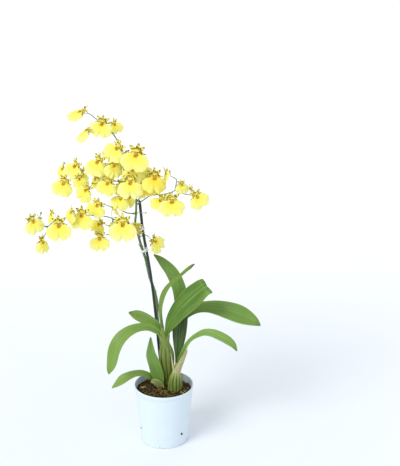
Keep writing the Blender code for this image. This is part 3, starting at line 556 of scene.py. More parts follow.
class Finish:
    """A material being mixed on a Principled shader."""

    def __init__(self, name, **constants):
        self.material = bpy.data.materials.new(name)
        self.material.use_nodes = True
        self.tree = self.material.node_tree
        self.shader = self.tree.nodes["Principled BSDF"]
        self.place = self.node("TexCoord", out="Object")
        for socket, value in constants.items():
            self.shader.inputs[socket.replace("_", " ")].default_value = value

    def node(self, kind, settings=None, sockets=None, out=0):
        """Any node: its settings first, then the values or links of its sockets."""
        made = self.tree.nodes.new("ShaderNode" + kind)
        for key, value in (settings or {}).items():
            setattr(made, key, value)
        for key, value in (sockets or {}).items():
            self.plug(made.inputs[key], value)
        return Value(self, made.outputs[out])

    def plug(self, socket, value):
        if isinstance(value, Value):
            self.tree.links.new(value.socket, socket)
        else:
            socket.default_value = value

    def math(self, operation, *values):
        return self.node("Math", {"operation": operation}, dict(enumerate(values)))

    def split(self, vector):
        """The three numbers of a vector."""
        first = self.node("SeparateXYZ", None, {"Vector": vector})
        return [Value(self, socket) for socket in first.socket.node.outputs]

    def attribute(self, label):
        return self.split(self.node("Attribute", {"attribute_name": label}, out="Vector"))

    def join(self, x, y, z):
        return self.node("CombineXYZ", None, {"X": x, "Y": y, "Z": z})

    def noise(self, vector, scale, detail=2.0, rough=0.5):
        sockets = {"Vector": vector, "Scale": scale, "Detail": detail, "Roughness": rough}
        return self.node("TexNoise", None, sockets)

    def step(self, value, low, high):
        """0 below low, 1 above high, smooth between; reversed if low is above high."""
        sockets = {"Value": value, "From Min": low, "From Max": high}
        return self.node("MapRange", {"interpolation_type": "SMOOTHSTEP"}, sockets)

    def blend(self, factor, first, second):
        """Two colours mixed by the factor. A Mix node has its colours at inputs 6 and 7, and output 2."""
        return self.node("Mix", {"data_type": "RGBA"}, {0: factor, 6: first, 7: second}, 2)

    def coats(self, body, *coats):
        """The body colour under coats of (factor, red, green, blue), each blended over the last."""
        for factor, *colour in coats:
            body = self.blend(factor, body, paint(*colour))
        return body

    def skin(self, body, roughness, relief, depth, strength=0.5):
        """The finished material: its colour, its roughness, and the relief bumped to the given depth."""
        bump = self.node("Bump", None, {"Height": relief, "Distance": depth, "Strength": strength})
        return self.cover(Base_Color=body, Roughness=roughness, Normal=bump)

    def cover(self, **sockets):
        """Links the shader's own sockets."""
        for socket, value in sockets.items():
            self.plug(self.shader.inputs[socket.replace("_", " ")], value)
        return self.material


def paint(red, green, blue):
    """A paint chart's 0 to 255 colour as the shader's linear one."""
    share = np.array([red, green, blue]) / 255
    linear = np.where(share <= 0.04045, share / 12.92, ((share + 0.055) / 1.055) ** 2.4)
    return (*linear.tolist(), 1.0)


def pot_plastic():
    """Thin pale blue-white plastic: faint cloudiness, fine lengthwise drag, and a brown stain down the inner
    wall."""
    finish = Finish("pot_plastic", Specular_IOR_Level=0.45)
    around, height, inner = finish.attribute("mark")
    cloud = finish.noise(finish.place, 38.0, 3.0)
    grime = finish.noise(finish.place, 260.0, 4.0, 0.65)
    body = finish.blend(cloud, paint(214, 228, 238), paint(222, 234, 242))
    stain = finish.step(height + (grime - 0.5) * 0.08, 0.915, 0.875) * inner
    speck = finish.step(grime, 0.74, 0.79) * 0.25
    body = finish.coats(
        body,
        (stain * 0.75, 112, 96, 76),
        (speck, 150, 146, 132),
    )
    drag = finish.noise(finish.join(around * 900.0, height * 6.0, 0.0), 1.0, 1.0)
    relief = drag * 0.3 + finish.noise(finish.place, 900.0, 1.0) * 0.7
    return finish.skin(body, 0.34 + cloud * 0.12 + stain * 0.3, relief, 0.00006)


def bark_mix():
    """Damp bark and crumbs: each chip has its own brown, from near black through red-brown to tan and moss.
    tone = (redder, paler, mossy)."""
    finish = Finish("bark_mix", Specular_IOR_Level=0.3)
    hue, light, moss = finish.attribute("tone")
    grain = finish.noise(finish.place, 700.0, 5.0, 0.65)
    patchy = finish.noise(finish.place, 90.0, 3.0)
    dark = finish.blend(grain, paint(16, 12, 8), paint(48, 34, 22))
    red = finish.blend(grain, paint(58, 36, 20), paint(118, 78, 46))
    body = finish.blend(finish.step(hue + (patchy - 0.5) * 0.5, 0.35, 0.75), dark, red)
    body = finish.coats(body, (finish.step(light, 0.83, 0.92) * 0.85, 192, 168, 98))
    green = finish.blend(grain, paint(70, 70, 16), paint(156, 144, 50))
    body = finish.blend(moss * (0.45 + grain * 0.6), body, green)
    return finish.skin(body, 0.72 + grain * 0.25, grain, 0.0005, 0.8)


def stake_coat():
    """Dark green coated cane: lengthwise streaks, scuffs that show paler, a satin skin."""
    finish = Finish("stake_coat")
    around, along, _ = finish.attribute("mark")
    streak = finish.noise(finish.join(around * 34.0, along * 22.0, 0.0), 1.0, 4.0, 0.6)
    scuff = finish.step(finish.noise(finish.place, 420.0, 5.0, 0.7), 0.60, 0.70)
    body = finish.blend(streak, paint(14, 26, 20), paint(40, 58, 42))
    body = finish.coats(body, (scuff * 0.3, 104, 112, 84))
    return finish.skin(body, 0.36 + streak * 0.18 + scuff * 0.15, streak, 0.0002, 0.6)


def tie_wire():
    """Paper-covered wire, off-white, with the spiral of its wrap and a little soil."""
    finish = Finish("tie_wire")
    around, along, _ = finish.attribute("mark")
    wrap = finish.math("SINE", along * 190.0 + around * 6.2832)
    soil = finish.step(finish.noise(finish.place, 600.0, 4.0), 0.52, 0.72)
    body = finish.blend(soil * 0.22, paint(253, 253, 246), paint(176, 166, 126))
    return finish.skin(body, 0.62 + soil * 0.2, wrap, 0.0001)


def green_stem():
    """Firm green stalk: fine lengthwise lines, olive to purple-brown flecks. tone = (paler, browner, 0)."""
    finish = Finish("green_stem", Subsurface_Weight=0.08, Subsurface_Scale=0.002)
    around, along, _ = finish.attribute("mark")
    paler, browner, _ = finish.attribute("tone")
    line = finish.noise(finish.join(around * 26.0, along * 9.0, paler * 7.0), 1.0, 3.0)
    cloud = finish.noise(finish.place, 55.0, 3.0)
    fleck = finish.step(finish.noise(finish.place, 900.0, 3.0, 0.6), 0.56, 0.66)
    body = finish.blend(cloud, paint(76, 104, 50), paint(108, 134, 70))
    body = finish.coats(
        body,
        (line * 0.4, 132, 154, 92),
        (paler, 176, 184, 104),
        (browner * (0.5 + cloud * 0.5), 98, 84, 48),
        (fleck * 0.35, 84, 62, 46),
    )
    return finish.skin(body, 0.42 + cloud * 0.16, line, 0.00015)


def leaf_green():
    """Leathery leaf: close parallel veins, a pale midrib, margins of a more yellow green, cloudy depth of
    green, a paler dull underside, few scars. tone = (paler, mostly painted sheen; above 0 a yellow tint and
    below 0 painted shadow over the lower half; browned tip)."""
    finish = Finish("leaf_green", Subsurface_Weight=0.05, Subsurface_Scale=0.002, Specular_IOR_Level=0.38)
    across, along, under = finish.attribute("mark")
    paler, yellow_tint_and_low_shadow, browned = finish.attribute("tone")
    cloud = finish.noise(finish.place, 26.0, 3.0)
    strand = finish.noise(finish.join(across * 11.0, along * 2.2, paler * 9.0), 1.0, 3.0)
    vein = finish.math("SINE", across * 62.0 + (strand - 0.5) * 5.0)
    side = abs(across)
    midrib = finish.step(side, 0.085, 0.02)
    margin = finish.step(side, 0.86, 1.0)
    body = finish.blend(cloud, paint(56, 96, 14), paint(98, 138, 36))
    body = finish.coats(
        body,
        (finish.step(strand, 0.42, 0.70) * 0.45, 128, 164, 66),
        (finish.step(strand, 0.50, 0.30) * 0.40, 44, 80, 14),
        (vein * 0.10 + 0.10, 44, 78, 16),
        # The paler coat is mostly painted sheen, each leaf lightened by as much as light shines off it, and
        # partly the leaves' own spread of green.
        (paler, 150, 188, 100),
        (yellow_tint_and_low_shadow, 154, 176, 60),
    )
    # Painted shadow: a negative second tone turns the lower blade a shaded green, the shade that falls on
    # the tall rear leaf behind the broad front leaf.
    painted_low_shadow = (0.0 - yellow_tint_and_low_shadow) * finish.step(along, 0.62, 0.40)
    shaded = finish.blend(finish.step(strand, 0.48, 0.66), paint(40, 70, 22), paint(84, 112, 58))
    body = finish.blend(painted_low_shadow, body, shaded)
    body = finish.coats(
        body,
        (midrib * 0.22, 150, 180, 90),
        (margin * 0.35, 158, 172, 84),
        (under * 0.55, 128, 152, 96),
    )
    base = finish.step(along, 0.13, 0.0)
    body = finish.coats(body, (base * 0.55, 156, 170, 92))
    scar = finish.step(finish.noise(finish.place, 240.0, 4.0, 0.7), 0.705, 0.735)
    body = finish.coats(body, (scar * 0.5, 150, 140, 86))
    tip = finish.step(along + (cloud - 0.5) * 0.04, 0.93, 0.99) * browned
    body = finish.coats(body, (tip, 98, 88, 46))
    relief = vein * 0.25 + strand * 0.7 - midrib * 0.5
    return finish.skin(body, 0.36 + cloud * 0.12 + under * 0.16, relief, 0.0003)


def bulb_green():
    """Ribbed pseudobulb: yellow-green ribs, brown in the furrows, dark at the foot. mark.under = furrow."""
    finish = Finish("bulb_green", Subsurface_Weight=0.08, Subsurface_Scale=0.003)
    around, along, furrow = finish.attribute("mark")
    paler, _, _ = finish.attribute("tone")
    cloud = finish.noise(finish.place, 60.0, 4.0)
    thread = finish.noise(finish.join(around * 70.0, along * 2.5, 0.0), 1.0, 3.0)
    body = finish.blend(cloud, paint(96, 122, 40), paint(136, 156, 66))
    body = finish.coats(
        body,
        (finish.step(thread, 0.45, 0.70) * 0.5, 162, 174, 98),
        (paler * finish.step(along, 0.55, 0.95), 190, 194, 120),
        (finish.step(furrow, 0.10, 0.80) * 0.78, 66, 68, 26),
        (finish.step(along, 0.16, 0.02) * 0.7, 72, 54, 34),
    )
    fleck = finish.step(finish.noise(finish.place, 800.0, 3.0, 0.65), 0.60, 0.68)
    body = finish.coats(body, (fleck * 0.4, 92, 70, 42))
    return finish.skin(body, 0.42 + cloud * 0.2, thread, 0.0005, 0.6)


def dry_bract():
    """Papery sheath: straw and dull green, with brown fibres running up it. tone = (greener, pinker, 0)."""
    finish = Finish("dry_bract", Subsurface_Weight=0.15, Subsurface_Scale=0.002)
    across, along, _ = finish.attribute("mark")
    greener, pinker, _ = finish.attribute("tone")
    fibre = finish.noise(finish.join(across * 16.0, along * 2.0, 0.0), 1.0, 4.0, 0.6)
    cloud = finish.noise(finish.place, 120.0, 3.0)
    body = finish.blend(cloud, paint(196, 186, 132), paint(216, 208, 168))
    body = finish.blend(greener, body, finish.blend(cloud, paint(98, 130, 44), paint(132, 158, 70)))
    body = finish.coats(
        body,
        (greener * finish.step(abs(across), 0.72, 0.98) * 0.8, 206, 208, 150),
        (pinker, 196, 172, 146),
        (finish.step(fibre, 0.5, 0.7) * 0.45, 120, 104, 58),
    )
    return finish.skin(body, 0.6 + cloud * 0.2, fibre, 0.0003, 0.7)


def petal_yellow():
    """Petals: clear yellow, paler to the edge by a painted highlight, richer at the throat with fine radial
    veins; red-brown bars on sepals and upper petals, and red-brown spots on the crest. tone = (bars, spots,
    depth), where depth is the flower's own random tone of yellow and, on some flowers, painted shade."""
    finish = Finish("petal_yellow", Subsurface_Weight=0.25, Subsurface_Scale=0.0015, Specular_IOR_Level=0.25)
    finish.shader.inputs["Subsurface Radius"].default_value = (1.0, 0.8, 0.2)
    across, along, under = finish.attribute("mark")
    bars, spots, depth = finish.attribute("tone")
    lip = (1.0 - bars) * (1.0 - spots)
    cloud = finish.noise(finish.place, 150.0, 2.0)
    fine = finish.noise(finish.place, 900.0, 3.0, 0.6)
    # Painted highlight: each petal pales towards its edge, standing in for the glare of light on the thin
    # edges.
    edge = finish.step(along + (cloud - 0.5) * 0.3, 0.30, 0.95)
    body = finish.blend(edge, paint(246, 236, 98), paint(248, 247, 158))
    body = finish.coats(
        body,
        # depth: the flower's own random tone of yellow, and painted shade on the listed flowers whose lips
        # are in shadow.
        (depth, 246, 212, 48),
        (under * 0.3, 248, 244, 150),
    )
    rays = finish.noise(finish.join(across * 24.0, along * 1.6, depth * 5.0), 1.0, 2.0)
    vein = finish.step(rays, 0.5, 0.72)
    body = finish.coats(body, (vein * lip * 0.22, 236, 204, 44))
    throat = finish.step(along + (fine - 0.5) * 0.16, 0.20, 0.08) * lip
    body = finish.coats(body, (throat * 0.8, 196, 112, 30))
    bar = finish.math("SINE", along * 17.0 + (cloud - 0.5) * 9.0 + across * 1.2)
    bar = finish.step(bar + (fine - 0.5) * 1.2, -0.05, 0.45) * finish.step(along, 0.95, 0.80)
    body = finish.coats(
        body,
        (bars * 0.45, 204, 202, 78),
        (bar * bars * 0.88, 128, 92, 32),
    )
    spot = finish.step(finish.noise(finish.place, 620.0, 2.0), 0.44, 0.56)
    body = finish.blend(spots, body, finish.blend(spot, paint(242, 204, 48), paint(164, 88, 28)))
    relief = vein * 0.5 + fine * 0.5
    return finish.skin(body, 0.5 + cloud * 0.15, relief, 0.0002)


def stage_paper():
    """Plain pale floor, faintly cloudy, with painted light that whitens it further back."""
    finish = Finish("stage_paper", Specular_IOR_Level=0.1, Roughness=0.9)
    _, depth, _ = finish.split(finish.place)
    cloud = finish.noise(finish.place, 3.0, 2.0)
    near = finish.blend(cloud, paint(232, 237, 244), paint(236, 240, 246))
    # Painted light: the floor whitens from near the pot to two metres behind it, standing for the brighter
    # lit backdrop.
    return finish.cover(Base_Color=finish.blend(finish.step(depth, 0.1, 2.0), near, paint(254, 255, 255)))


def wall_radius(z):
    """The pot's outer radius below the rim band, at height z."""
    top = RIM_RADIUS - BAND_STEP
    return BASE_RADIUS + (top - BASE_RADIUS) * z / (POT_HEIGHT - RIM_BAND)


def arc(radius, height, size, start, end, count):
    """Count (radius, height) points of an arc of the given size, from start to end degrees."""
    angle = np.radians(np.linspace(start, end, count))
    return np.stack([radius + size * np.cos(angle), height + size * np.sin(angle)], -1)


def build_pot(material):
    """A turned wall: floor, inner wall, rolled lip, rim band, outer wall and rounded foot, with small
    notches pressed into the foot and drain holes cut through the floor."""
    band_low = POT_HEIGHT - RIM_BAND
    lip_middle = RIM_RADIUS - LIP_ROUND
    heights = np.linspace(0.0045, band_low - 0.001, 16)
    inside = np.stack([wall_radius(heights) - WALL, heights], -1)
    heights = np.linspace(band_low - 0.0012, 0.003, 18)
    outside = np.stack([wall_radius(heights), heights], -1)
    corner = wall_radius(FLOOR) - WALL - INNER_CORNER
    floor = [(share * corner, FLOOR) for share in (0.1, 0.3, 0.5, 0.7, 0.9)]
    inner = [*floor, *arc(corner, FLOOR + INNER_CORNER, INNER_CORNER, -90, 0, 5), *inside]
    lip = arc(lip_middle, POT_HEIGHT - LIP_ROUND, LIP_ROUND, 180, 0, 11)
    band = [(RIM_RADIUS, z) for z in np.linspace(POT_HEIGHT - 0.0015, band_low + 0.0005, 5)]
    step = arc(RIM_RADIUS - 0.0004, band_low + 0.0004, 0.0004, 0, -90, 4)
    foot = arc(BASE_RADIUS - 0.0011, FOOT_ROUND, FOOT_ROUND, 0, -90, 6)
    under = [(share * BASE_RADIUS, 0.0) for share in (0.9, 0.75, 0.5, 0.3, 0.1)]
    rows = np.array([*inner, *lip, *band, *step, *outside, *foot, *under])
    inner_side = (np.arange(len(rows)) < len(inner) + len(lip) // 2).astype(float)[:, None]
    points, faces, marks = lathe(rows, POT_COLUMNS, inner_side)
    angle = np.arctan2(points[:, 1], points[:, 0])
    notch = np.maximum(0, np.cos(NOTCHES * (angle + np.pi / 2))) ** 60
    outer = np.hypot(points[:, 0], points[:, 1]) > 0.044
    low = np.clip(1 - points[:, 2] / (2 * FOOT_ROUND), 0, 1) * outer
    points[:, 2] += NOTCH_RISE * notch * low
    pot = Piece()
    pot.add((points, faces, marks))
    obj = pot.make("pot_shell", material, "pot_plastic", "pot", sharp=40)
    cut_drains(obj)


def cut_drains(pot):
    """A Boolean cut of DRAIN_HOLES upright rods through the floor, then applied."""
    rods = Piece()
    for i in range(DRAIN_HOLES):
        angle = 2 * math.pi * (i + 0.5) / DRAIN_HOLES
        foot = np.array([DRAIN_CIRCLE * math.cos(angle), DRAIN_CIRCLE * math.sin(angle), -FLOOR])
        rods.add(tube([foot, foot + (0, 0, 1.5 * FLOOR), foot + (0, 0, 3 * FLOOR)], DRAIN_RADIUS, 28))
    mesh = bpy.data.meshes.new("drain_rods")
    mesh.from_pydata(np.concatenate(rods.points).tolist(), [], rods.faces)
    cutter = bpy.data.objects.new("drain_rods", mesh)
    bpy.context.scene.collection.objects.link(cutter)
    boolean = pot.modifiers.new("drains", "BOOLEAN")
    boolean.solver = "EXACT"
    boolean.object = cutter
    bpy.context.view_layer.update()
    cut_mesh = bpy.data.meshes.new_from_object(pot.evaluated_get(bpy.context.evaluated_depsgraph_get()))
    pot.modifiers.clear()
    pot.data = cut_mesh
    bpy.data.objects.remove(cutter, do_unlink=True)


def bed_height(x, y):
    """The top of the mix at (x, y): a low mound with bumps of a few millimetres."""
    flat = np.stack([x, y, 0 * x], -1)
    return MEDIUM_TOP + MEDIUM_RISE + 0.0014 * bumps(flat, 0.026, 3) + 0.0008 * bumps(flat, 0.009, 4)


def bark_chips(count, biggest, draw):
    """Count shards of bark lying on the bed: two six-cornered rings, top and bottom, with every corner
    jittered, then stretched to a length, a width and a thickness and turned at random."""
    angle = np.arange(6) * np.pi / 3
    ring = np.stack([np.cos(angle), np.sin(angle)], -1)
    shape = np.empty((count, 2, 6, 3))
    shape[..., :2] = ring * draw.uniform(0.55, 1.1, (count, 2, 6, 1))
    shape[..., 2] = np.array([1.0, -1.0])[:, None] * draw.uniform(0.6, 1.1, (count, 2, 6))
    length = biggest * draw.uniform(0.25, 1.0, count) ** 1.8
    width, depth = length * draw.uniform(0.35, 0.75, count), length * draw.uniform(0.16, 0.38, count)
    size = np.stack([length, width, depth], -1)
    yaw = draw.uniform(0, 2 * np.pi, count)
    spin = turned(yaw, draw.normal(0, 0.35, count), draw.normal(0, 0.35, count))
    reach = wall_radius(MEDIUM_TOP) - WALL - 0.001 - 0.8 * length
    far, way = reach * np.sqrt(draw.uniform(0, 1, count)), draw.uniform(0, 2 * np.pi, count)
    x, y = far * np.cos(way), far * np.sin(way)
    place = np.stack([x, y, bed_height(x, y) + length * draw.uniform(0.0, 0.28, count)], -1)
    points = np.einsum("nij,nrcj->nrci", spin, shape * size[:, None, None]) + place[:, None, None]
    start = 12 * np.arange(count)[:, None]
    c = np.arange(6)
    sides = np.stack([c, c + 6, (c + 1) % 6 + 6, (c + 1) % 6], -1).reshape(-1)
    faces = [(start + sides).reshape(-1, 4), start + c, start + 6 + c[::-1]]
    moss = (np.hypot(x + 0.012, y + 0.030) < 0.034) * draw.uniform(0, 1, count) > 0.72
    tones = np.stack([draw.uniform(0, 1, count), draw.uniform(0, 1, count), moss * 0.9], -1)
    marks = np.zeros((12 * count, 3))
    return (points.reshape(-1, 3), faces, marks), np.repeat(tones, 12, axis=0)


def build_mix(material):
    """The bed is a turned body with a bumpy top. Shards of bark, crumbs and curved fibres lie on it, and a
    few crumbs cling to the pot's outer wall."""
    top, low = wall_radius(MEDIUM_TOP) - WALL - 2 * GAP, wall_radius(FLOOR) - WALL - 2 * GAP
    radius = np.concatenate([np.linspace(0.001, top, 42), [top - 0.002, low, low * 0.5]])
    height = np.concatenate([np.full(42, MEDIUM_TOP), [MEDIUM_TOP - 0.015, FLOOR + GAP, FLOOR + GAP]])
    points, faces, marks = lathe(np.stack([radius, height], -1), 120)
    upper = points[:, 2] > MEDIUM_TOP - 0.001
    points[upper, 2] = bed_height(points[upper, 0], points[upper, 1])
    mix = Piece()
    mix.add((points, faces, marks), (0.2, 0.2, 0.15))
    draw = np.random.default_rng(11)
    for count, biggest in CHIP_BATCHES:
        patch, tones = bark_chips(count, biggest, draw)
        mix.add(patch, tones)
    for _ in range(FIBRES):
        way, far, turn = draw.uniform(0, 6.28), 0.050 * math.sqrt(draw.uniform()), draw.uniform(0, 6.28)
        share = np.linspace(-1, 1, 6)
        length = draw.uniform(0.003, 0.009)
        x = far * math.cos(way) + length * share * math.cos(turn) + 0.002 * share**2 * math.sin(turn)
        y = far * math.sin(way) + length * share * math.sin(turn) - 0.002 * share**2 * math.cos(turn)
        z = bed_height(x, y) + 0.0015 + draw.uniform(0, 0.003) * (1 - share**2)
        inside = np.hypot(x, y) < 0.054
        path = np.stack([x, y, z], -1)[inside]
        if len(path) > 3:
            mix.add(tube(path, 0.00028, 4), (0.6, draw.uniform(0.5, 1.0), draw.uniform(0.2, 1.0)))
    mix.make("bark_bed", material, "bark_mix", "growing_medium", sharp=35)
    crumbs = Piece()
    for way, height, size in WALL_CRUMBS:
        angle = math.radians(way)
        far = wall_radius(height) + 0.25 * size
        centre = (far * math.cos(angle), far * math.sin(angle), height)
        sizes = (0.5 * size, 0.5 * size, 0.75 * size)
        crumbs.add(pebble(centre, sizes, 7, 10, 0.25, int(height * 1e4)), (0.1, 0.1, 0.0))
    crumbs.make("wall_crumbs", material, "bark_mix", sharp=35)


def build_stake(material):
    """A tube on the stake's route with slight dents, its two ends rounded off by a half ellipse."""
    path = smooth_route(STAKE_ROUTE, 150)
    share = np.linspace(0, 1, 150)
    ends = np.clip(np.minimum(share, 1 - share) / 0.006, 0, 1)
    radii = STAKE_RADIUS * (1 + 0.03 * np.sin(41 * share) + 0.02 * np.sin(97 * share + 1))
    stake = Piece()
    stake.add(tube(path, radii * np.sqrt(1 - (1 - ends) ** 2 * 0.96), 20))
    stake.make("stake_rod", material, "stake_coat", "stake")


def route_at(route, z):
    """The point of a rising route at height z."""
    rows = np.array(route)
    return np.array([np.interp(z, rows[:, 2], rows[:, i]) for i in range(3)])


def build_ties(material):
    """Each tie: a racetrack of wire pulled round the stake and the stem. In front its two ends are twisted
    together, then opened out, one pair up to the right and one down to the left."""
    for name, height in TIE_HEIGHTS.items():
        stake, stem = route_at(STAKE_ROUTE, height), route_at(STEM_ROUTE, height)
        along = unit(stake - stem)
        across = unit(np.cross(along, (0, 0, 1)))
        reach = STAKE_RADIUS + TIE_WIRE + 0.0002
        turns = np.linspace(-np.pi / 2, np.pi / 2, 12)
        ends = []
        for centre, start in ((stake, 0), (stem, np.pi)):
            angle = turns + start
            ends.append(centre + reach * (np.cos(angle)[:, None] * along + np.sin(angle)[:, None] * across))
        loop = smooth_route(np.concatenate([*ends, ends[0][:1]]), 60)
        loop[:, 2] += 0.0010 * np.sin(np.linspace(0, 4 * np.pi, 60))
        tie = Piece()
        tie.add(tube(loop, 0.7 * TIE_WIRE, 8, facing=(0, 0, 1)))
        front = -across if across[1] > 0 else across
        root = 0.35 * stem + 0.65 * stake + front * reach
        share = np.linspace(0, 1, 30)[:, None]
        for way, length in TIE_TAILS:
            way = unit(np.array(way))
            first = unit(np.cross(way, (0, 1, 0)))
            second = np.cross(way, first)
            for strand in (0, np.pi):
                angle = strand + 5.0 * np.pi * np.minimum(share, 0.6)
                open_out = 0.0008 + 0.0085 * np.maximum(0, share - 0.6) ** 1.2
                twist = open_out * (np.cos(angle) * first + np.sin(angle) * second)
                path = root + way * length * share + twist
                tie.add(tube(path, TIE_WIRE, 8, facing=(0.1, 0.9, 0.2)))
        tie.make(f"wire_{name[5:]}", material, "tie_wire", name)


def nearest_on(routes, place):
    """The point nearest to place on any leg of the routes, and that leg's direction."""
    starts = np.concatenate([np.array(route)[:-1] for route in routes])
    legs = np.concatenate([np.diff(np.array(route), axis=0) for route in routes])
    share = np.clip(((place - starts) * legs).sum(1) / (legs**2).sum(1), 0, 1)[:, None]
    points = starts + share * legs
    best = np.argmin(np.linalg.norm(points - place, axis=1))
    return points[best], unit(legs[best])


def bow(start, pull, end, count):
    """Count points of the curve (1 - t)^2 start + 2 t (1 - t) pull + t^2 end."""
    t = np.linspace(0, 1, count)[:, None]
    return (1 - t) ** 2 * start + 2 * t * (1 - t) * pull + t**2 * end


def flower_turn(flower):
    """Rz(turn) Rx(nod) Ry(tilt) of a flower's row."""
    turn, nod, tilt = np.radians(flower[3:6])
    return turned(turn, nod, tilt)


def clasping_bract(foot, way, out, radius, length, open_angle=80, flare=0.18):
    """A small scale wrapped round a stalk: at share s up its length it stands radius + flare * s squared
    off the stalk's middle and closes round it from open_angle degrees at its foot to a point."""
    share = np.linspace(0, 1, 9)[:, None]
    across = np.linspace(-1, 1, 7)[None, :]
    side = np.cross(way, out)
    angle = np.radians(open_angle) * across * (1 - share**1.6 * 0.93)
    far = radius + 0.0002 + flare * length * share**2
    ring = np.cos(angle)[..., None] * out + np.sin(angle)[..., None] * side
    grid = foot + (length * share)[..., None] * way + far[..., None] * ring
    return sheet(grid[:, ::-1], 0.00025, across + 0 * share, share + 0 * across)


def build_spray(material):
    """The flowering stem: a tapering axis with swollen nodes and clasping bracts, its branches, a curved
    stalk to the back of each flower, and closed buds."""
    spray = Piece()
    path = smooth_route(STEM_ROUTE, 240)
    share = np.linspace(0, 1, 240)
    swelling = np.exp(-(((share[:, None] - np.array(STEM_NODES)) / 0.004) ** 2)).sum(1)
    radii = np.interp(share, np.linspace(0, 1, len(STEM_RADII)), STEM_RADII)
    spray.add(tube(path, radii * (1 + 0.28 * swelling), 14), (0.0, 0.05, 0.0))
    along = unit(np.gradient(path, axis=0))
    for i, node in enumerate(STEM_NODES):
        at = int(node * 239)
        out = unit(np.cross(along[at], (math.cos(2.4 * i), math.sin(2.4 * i), 0.0)))
        length = 0.012 if node < 0.45 else 0.006
        spray.add(clasping_bract(path[at], along[at], out, radii[at], length), (0.35, 0.30, 0.0))
    for route in BRANCHES.values():
        count = 7 * len(route)
        twig = smooth_route(route, count)
        joints = 1 + 0.25 * np.maximum(0, np.cos(np.linspace(0, np.pi * (len(route) - 1), count))) ** 20
        spray.add(tube(twig, np.linspace(*BRANCH_RADII, count) * joints, 9), (0.06, 0.30, 0.0))
        way = unit(twig[3] - twig[0])
        out = unit(np.cross(np.cross(way, (0, 0, 1)), way))
        spray.add(clasping_bract(twig[1], way, -out, 0.0012, 0.006, 70), (0.3, 0.35, 0.0))
    routes = [STEM_ROUTE, *BRANCHES.values()]
    for flower in [*FLOWERS, *INNER_BLOOMS]:
        crest, matrix = np.array(flower[:3]), flower_turn(flower)
        back = matrix @ (0, 1, 0)
        straight = crest + back * 0.0085
        foot, way = nearest_on(routes, crest + back * 0.006 - (0, 0, 0.008))
        path = bow(foot, straight, crest + back * 0.0008, 14)
        radii = np.interp(np.linspace(0, 1, 14), (0, 0.55, 0.85, 1), (0.00045, 0.00050, 0.00085, 0.0009))
        radii = radii * flower[6]
        spray.add(tube(path, radii, 8), (0.55, 0.10, 0.0))
        spray.add(clasping_bract(foot, unit(path[2] - foot), -way, 0.0006, 0.0028, 60), (0.3, 0.4, 0.0))
    for i, (x, y, z, size) in enumerate(BUDS):
        place = np.array([x, y, z])
        foot, way = nearest_on(routes, place - (0, 0, 0.004))
        length = BUD_LENGTH * size
        bend = place + (foot - place) * 0.45 - (0, 0, 0.001)
        path = bow(foot, bend, place, 8)
        spray.add(tube(path, np.linspace(0.00045, 0.0006, 8), 7), (0.4, 0.2, 0.0))
        lean = unit(path[-1] - path[-3])
        side = unit(np.cross(lean, (0.2, 0.9, 0.3)))
        matrix = np.stack([side, np.cross(lean, side), lean], -1)
        sizes = (length * 0.34, length * 0.30, length * 0.5)
        spray.add(pebble(place + lean * length * 0.4, sizes, 9, 12, 0.06, i, matrix), (0.45, 0.35, 0.0))
    spray.make("flower_spray", material, "green_stem", "flower_stem")


def blade_grid(stations, facing, rows, cols, fold, closed):
    """A long blade: midrib + half width * (cos k * a * side + sin k * |a| * lift), where a runs -1 to 1
    across and the fold k opens from BASE_FOLD at the base to the given fold past the closed share."""
    middle = smooth_route(stations, rows)
    middle, half = middle[:, :3], np.maximum(middle[:, 3], 0.0007)
    steps = np.linalg.norm(np.diff(middle, axis=0), axis=1)
    share = np.append(0, np.cumsum(steps)) / steps.sum()
    along, side, _ = frame_along(middle, between(facing, np.linspace(0, 1, rows)))
    turns = np.sign((side[1:] * side[:-1]).sum(1))
    side = side * np.cumprod(np.append(1, turns))[:, None]
    lift = np.cross(side, along)
    even = np.linspace(-1, 1, cols)
    across = np.sign(even) * np.abs(even) ** 1.25
    close = np.radians(fold + (BASE_FOLD - fold) * np.exp(-((share / closed) ** 2)))[:, None]
    over = across * np.cos(close)
    rise = np.sqrt(across**2 + 0.004) * np.sin(close) - 0.10 * across**4
    spread = over[..., None] * side[:, None] + rise[..., None] * lift[:, None]
    grid = middle[:, None] + half[:, None, None] * spread
    return grid, lift, across[None, :], share[:, None]


def leaf_patch(stations, facing, fold, closed, seed, thickness):
    """The blade with waved margins, a groove along the midrib and a keel behind, thinner at the margins."""
    grid, lift, across, share = blade_grid(stations, facing, *LEAF_GRID, fold, closed)
    draw = np.random.default_rng(seed)
    wave = np.sin(share * draw.uniform(14, 20) + draw.uniform(0, 6) + 1.3 * np.sign(across))
    bend = 0.0007 * wave * np.abs(across) ** 2 * np.sin(np.pi * share)
    groove = -0.0005 * np.exp(-((across / 0.05) ** 2))
    ribs = 0.00010 * np.cos(across * 19) * np.sin(np.pi * share)
    grid = grid + (bend + groove + ribs)[..., None] * lift[:, None]
    keel = thickness * (1.0 - 0.45 * across**2 + 1.3 * np.exp(-((across / 0.07) ** 2)) * (1 - 0.8 * share))
    return sheet(grid, keel[..., None], across, share)


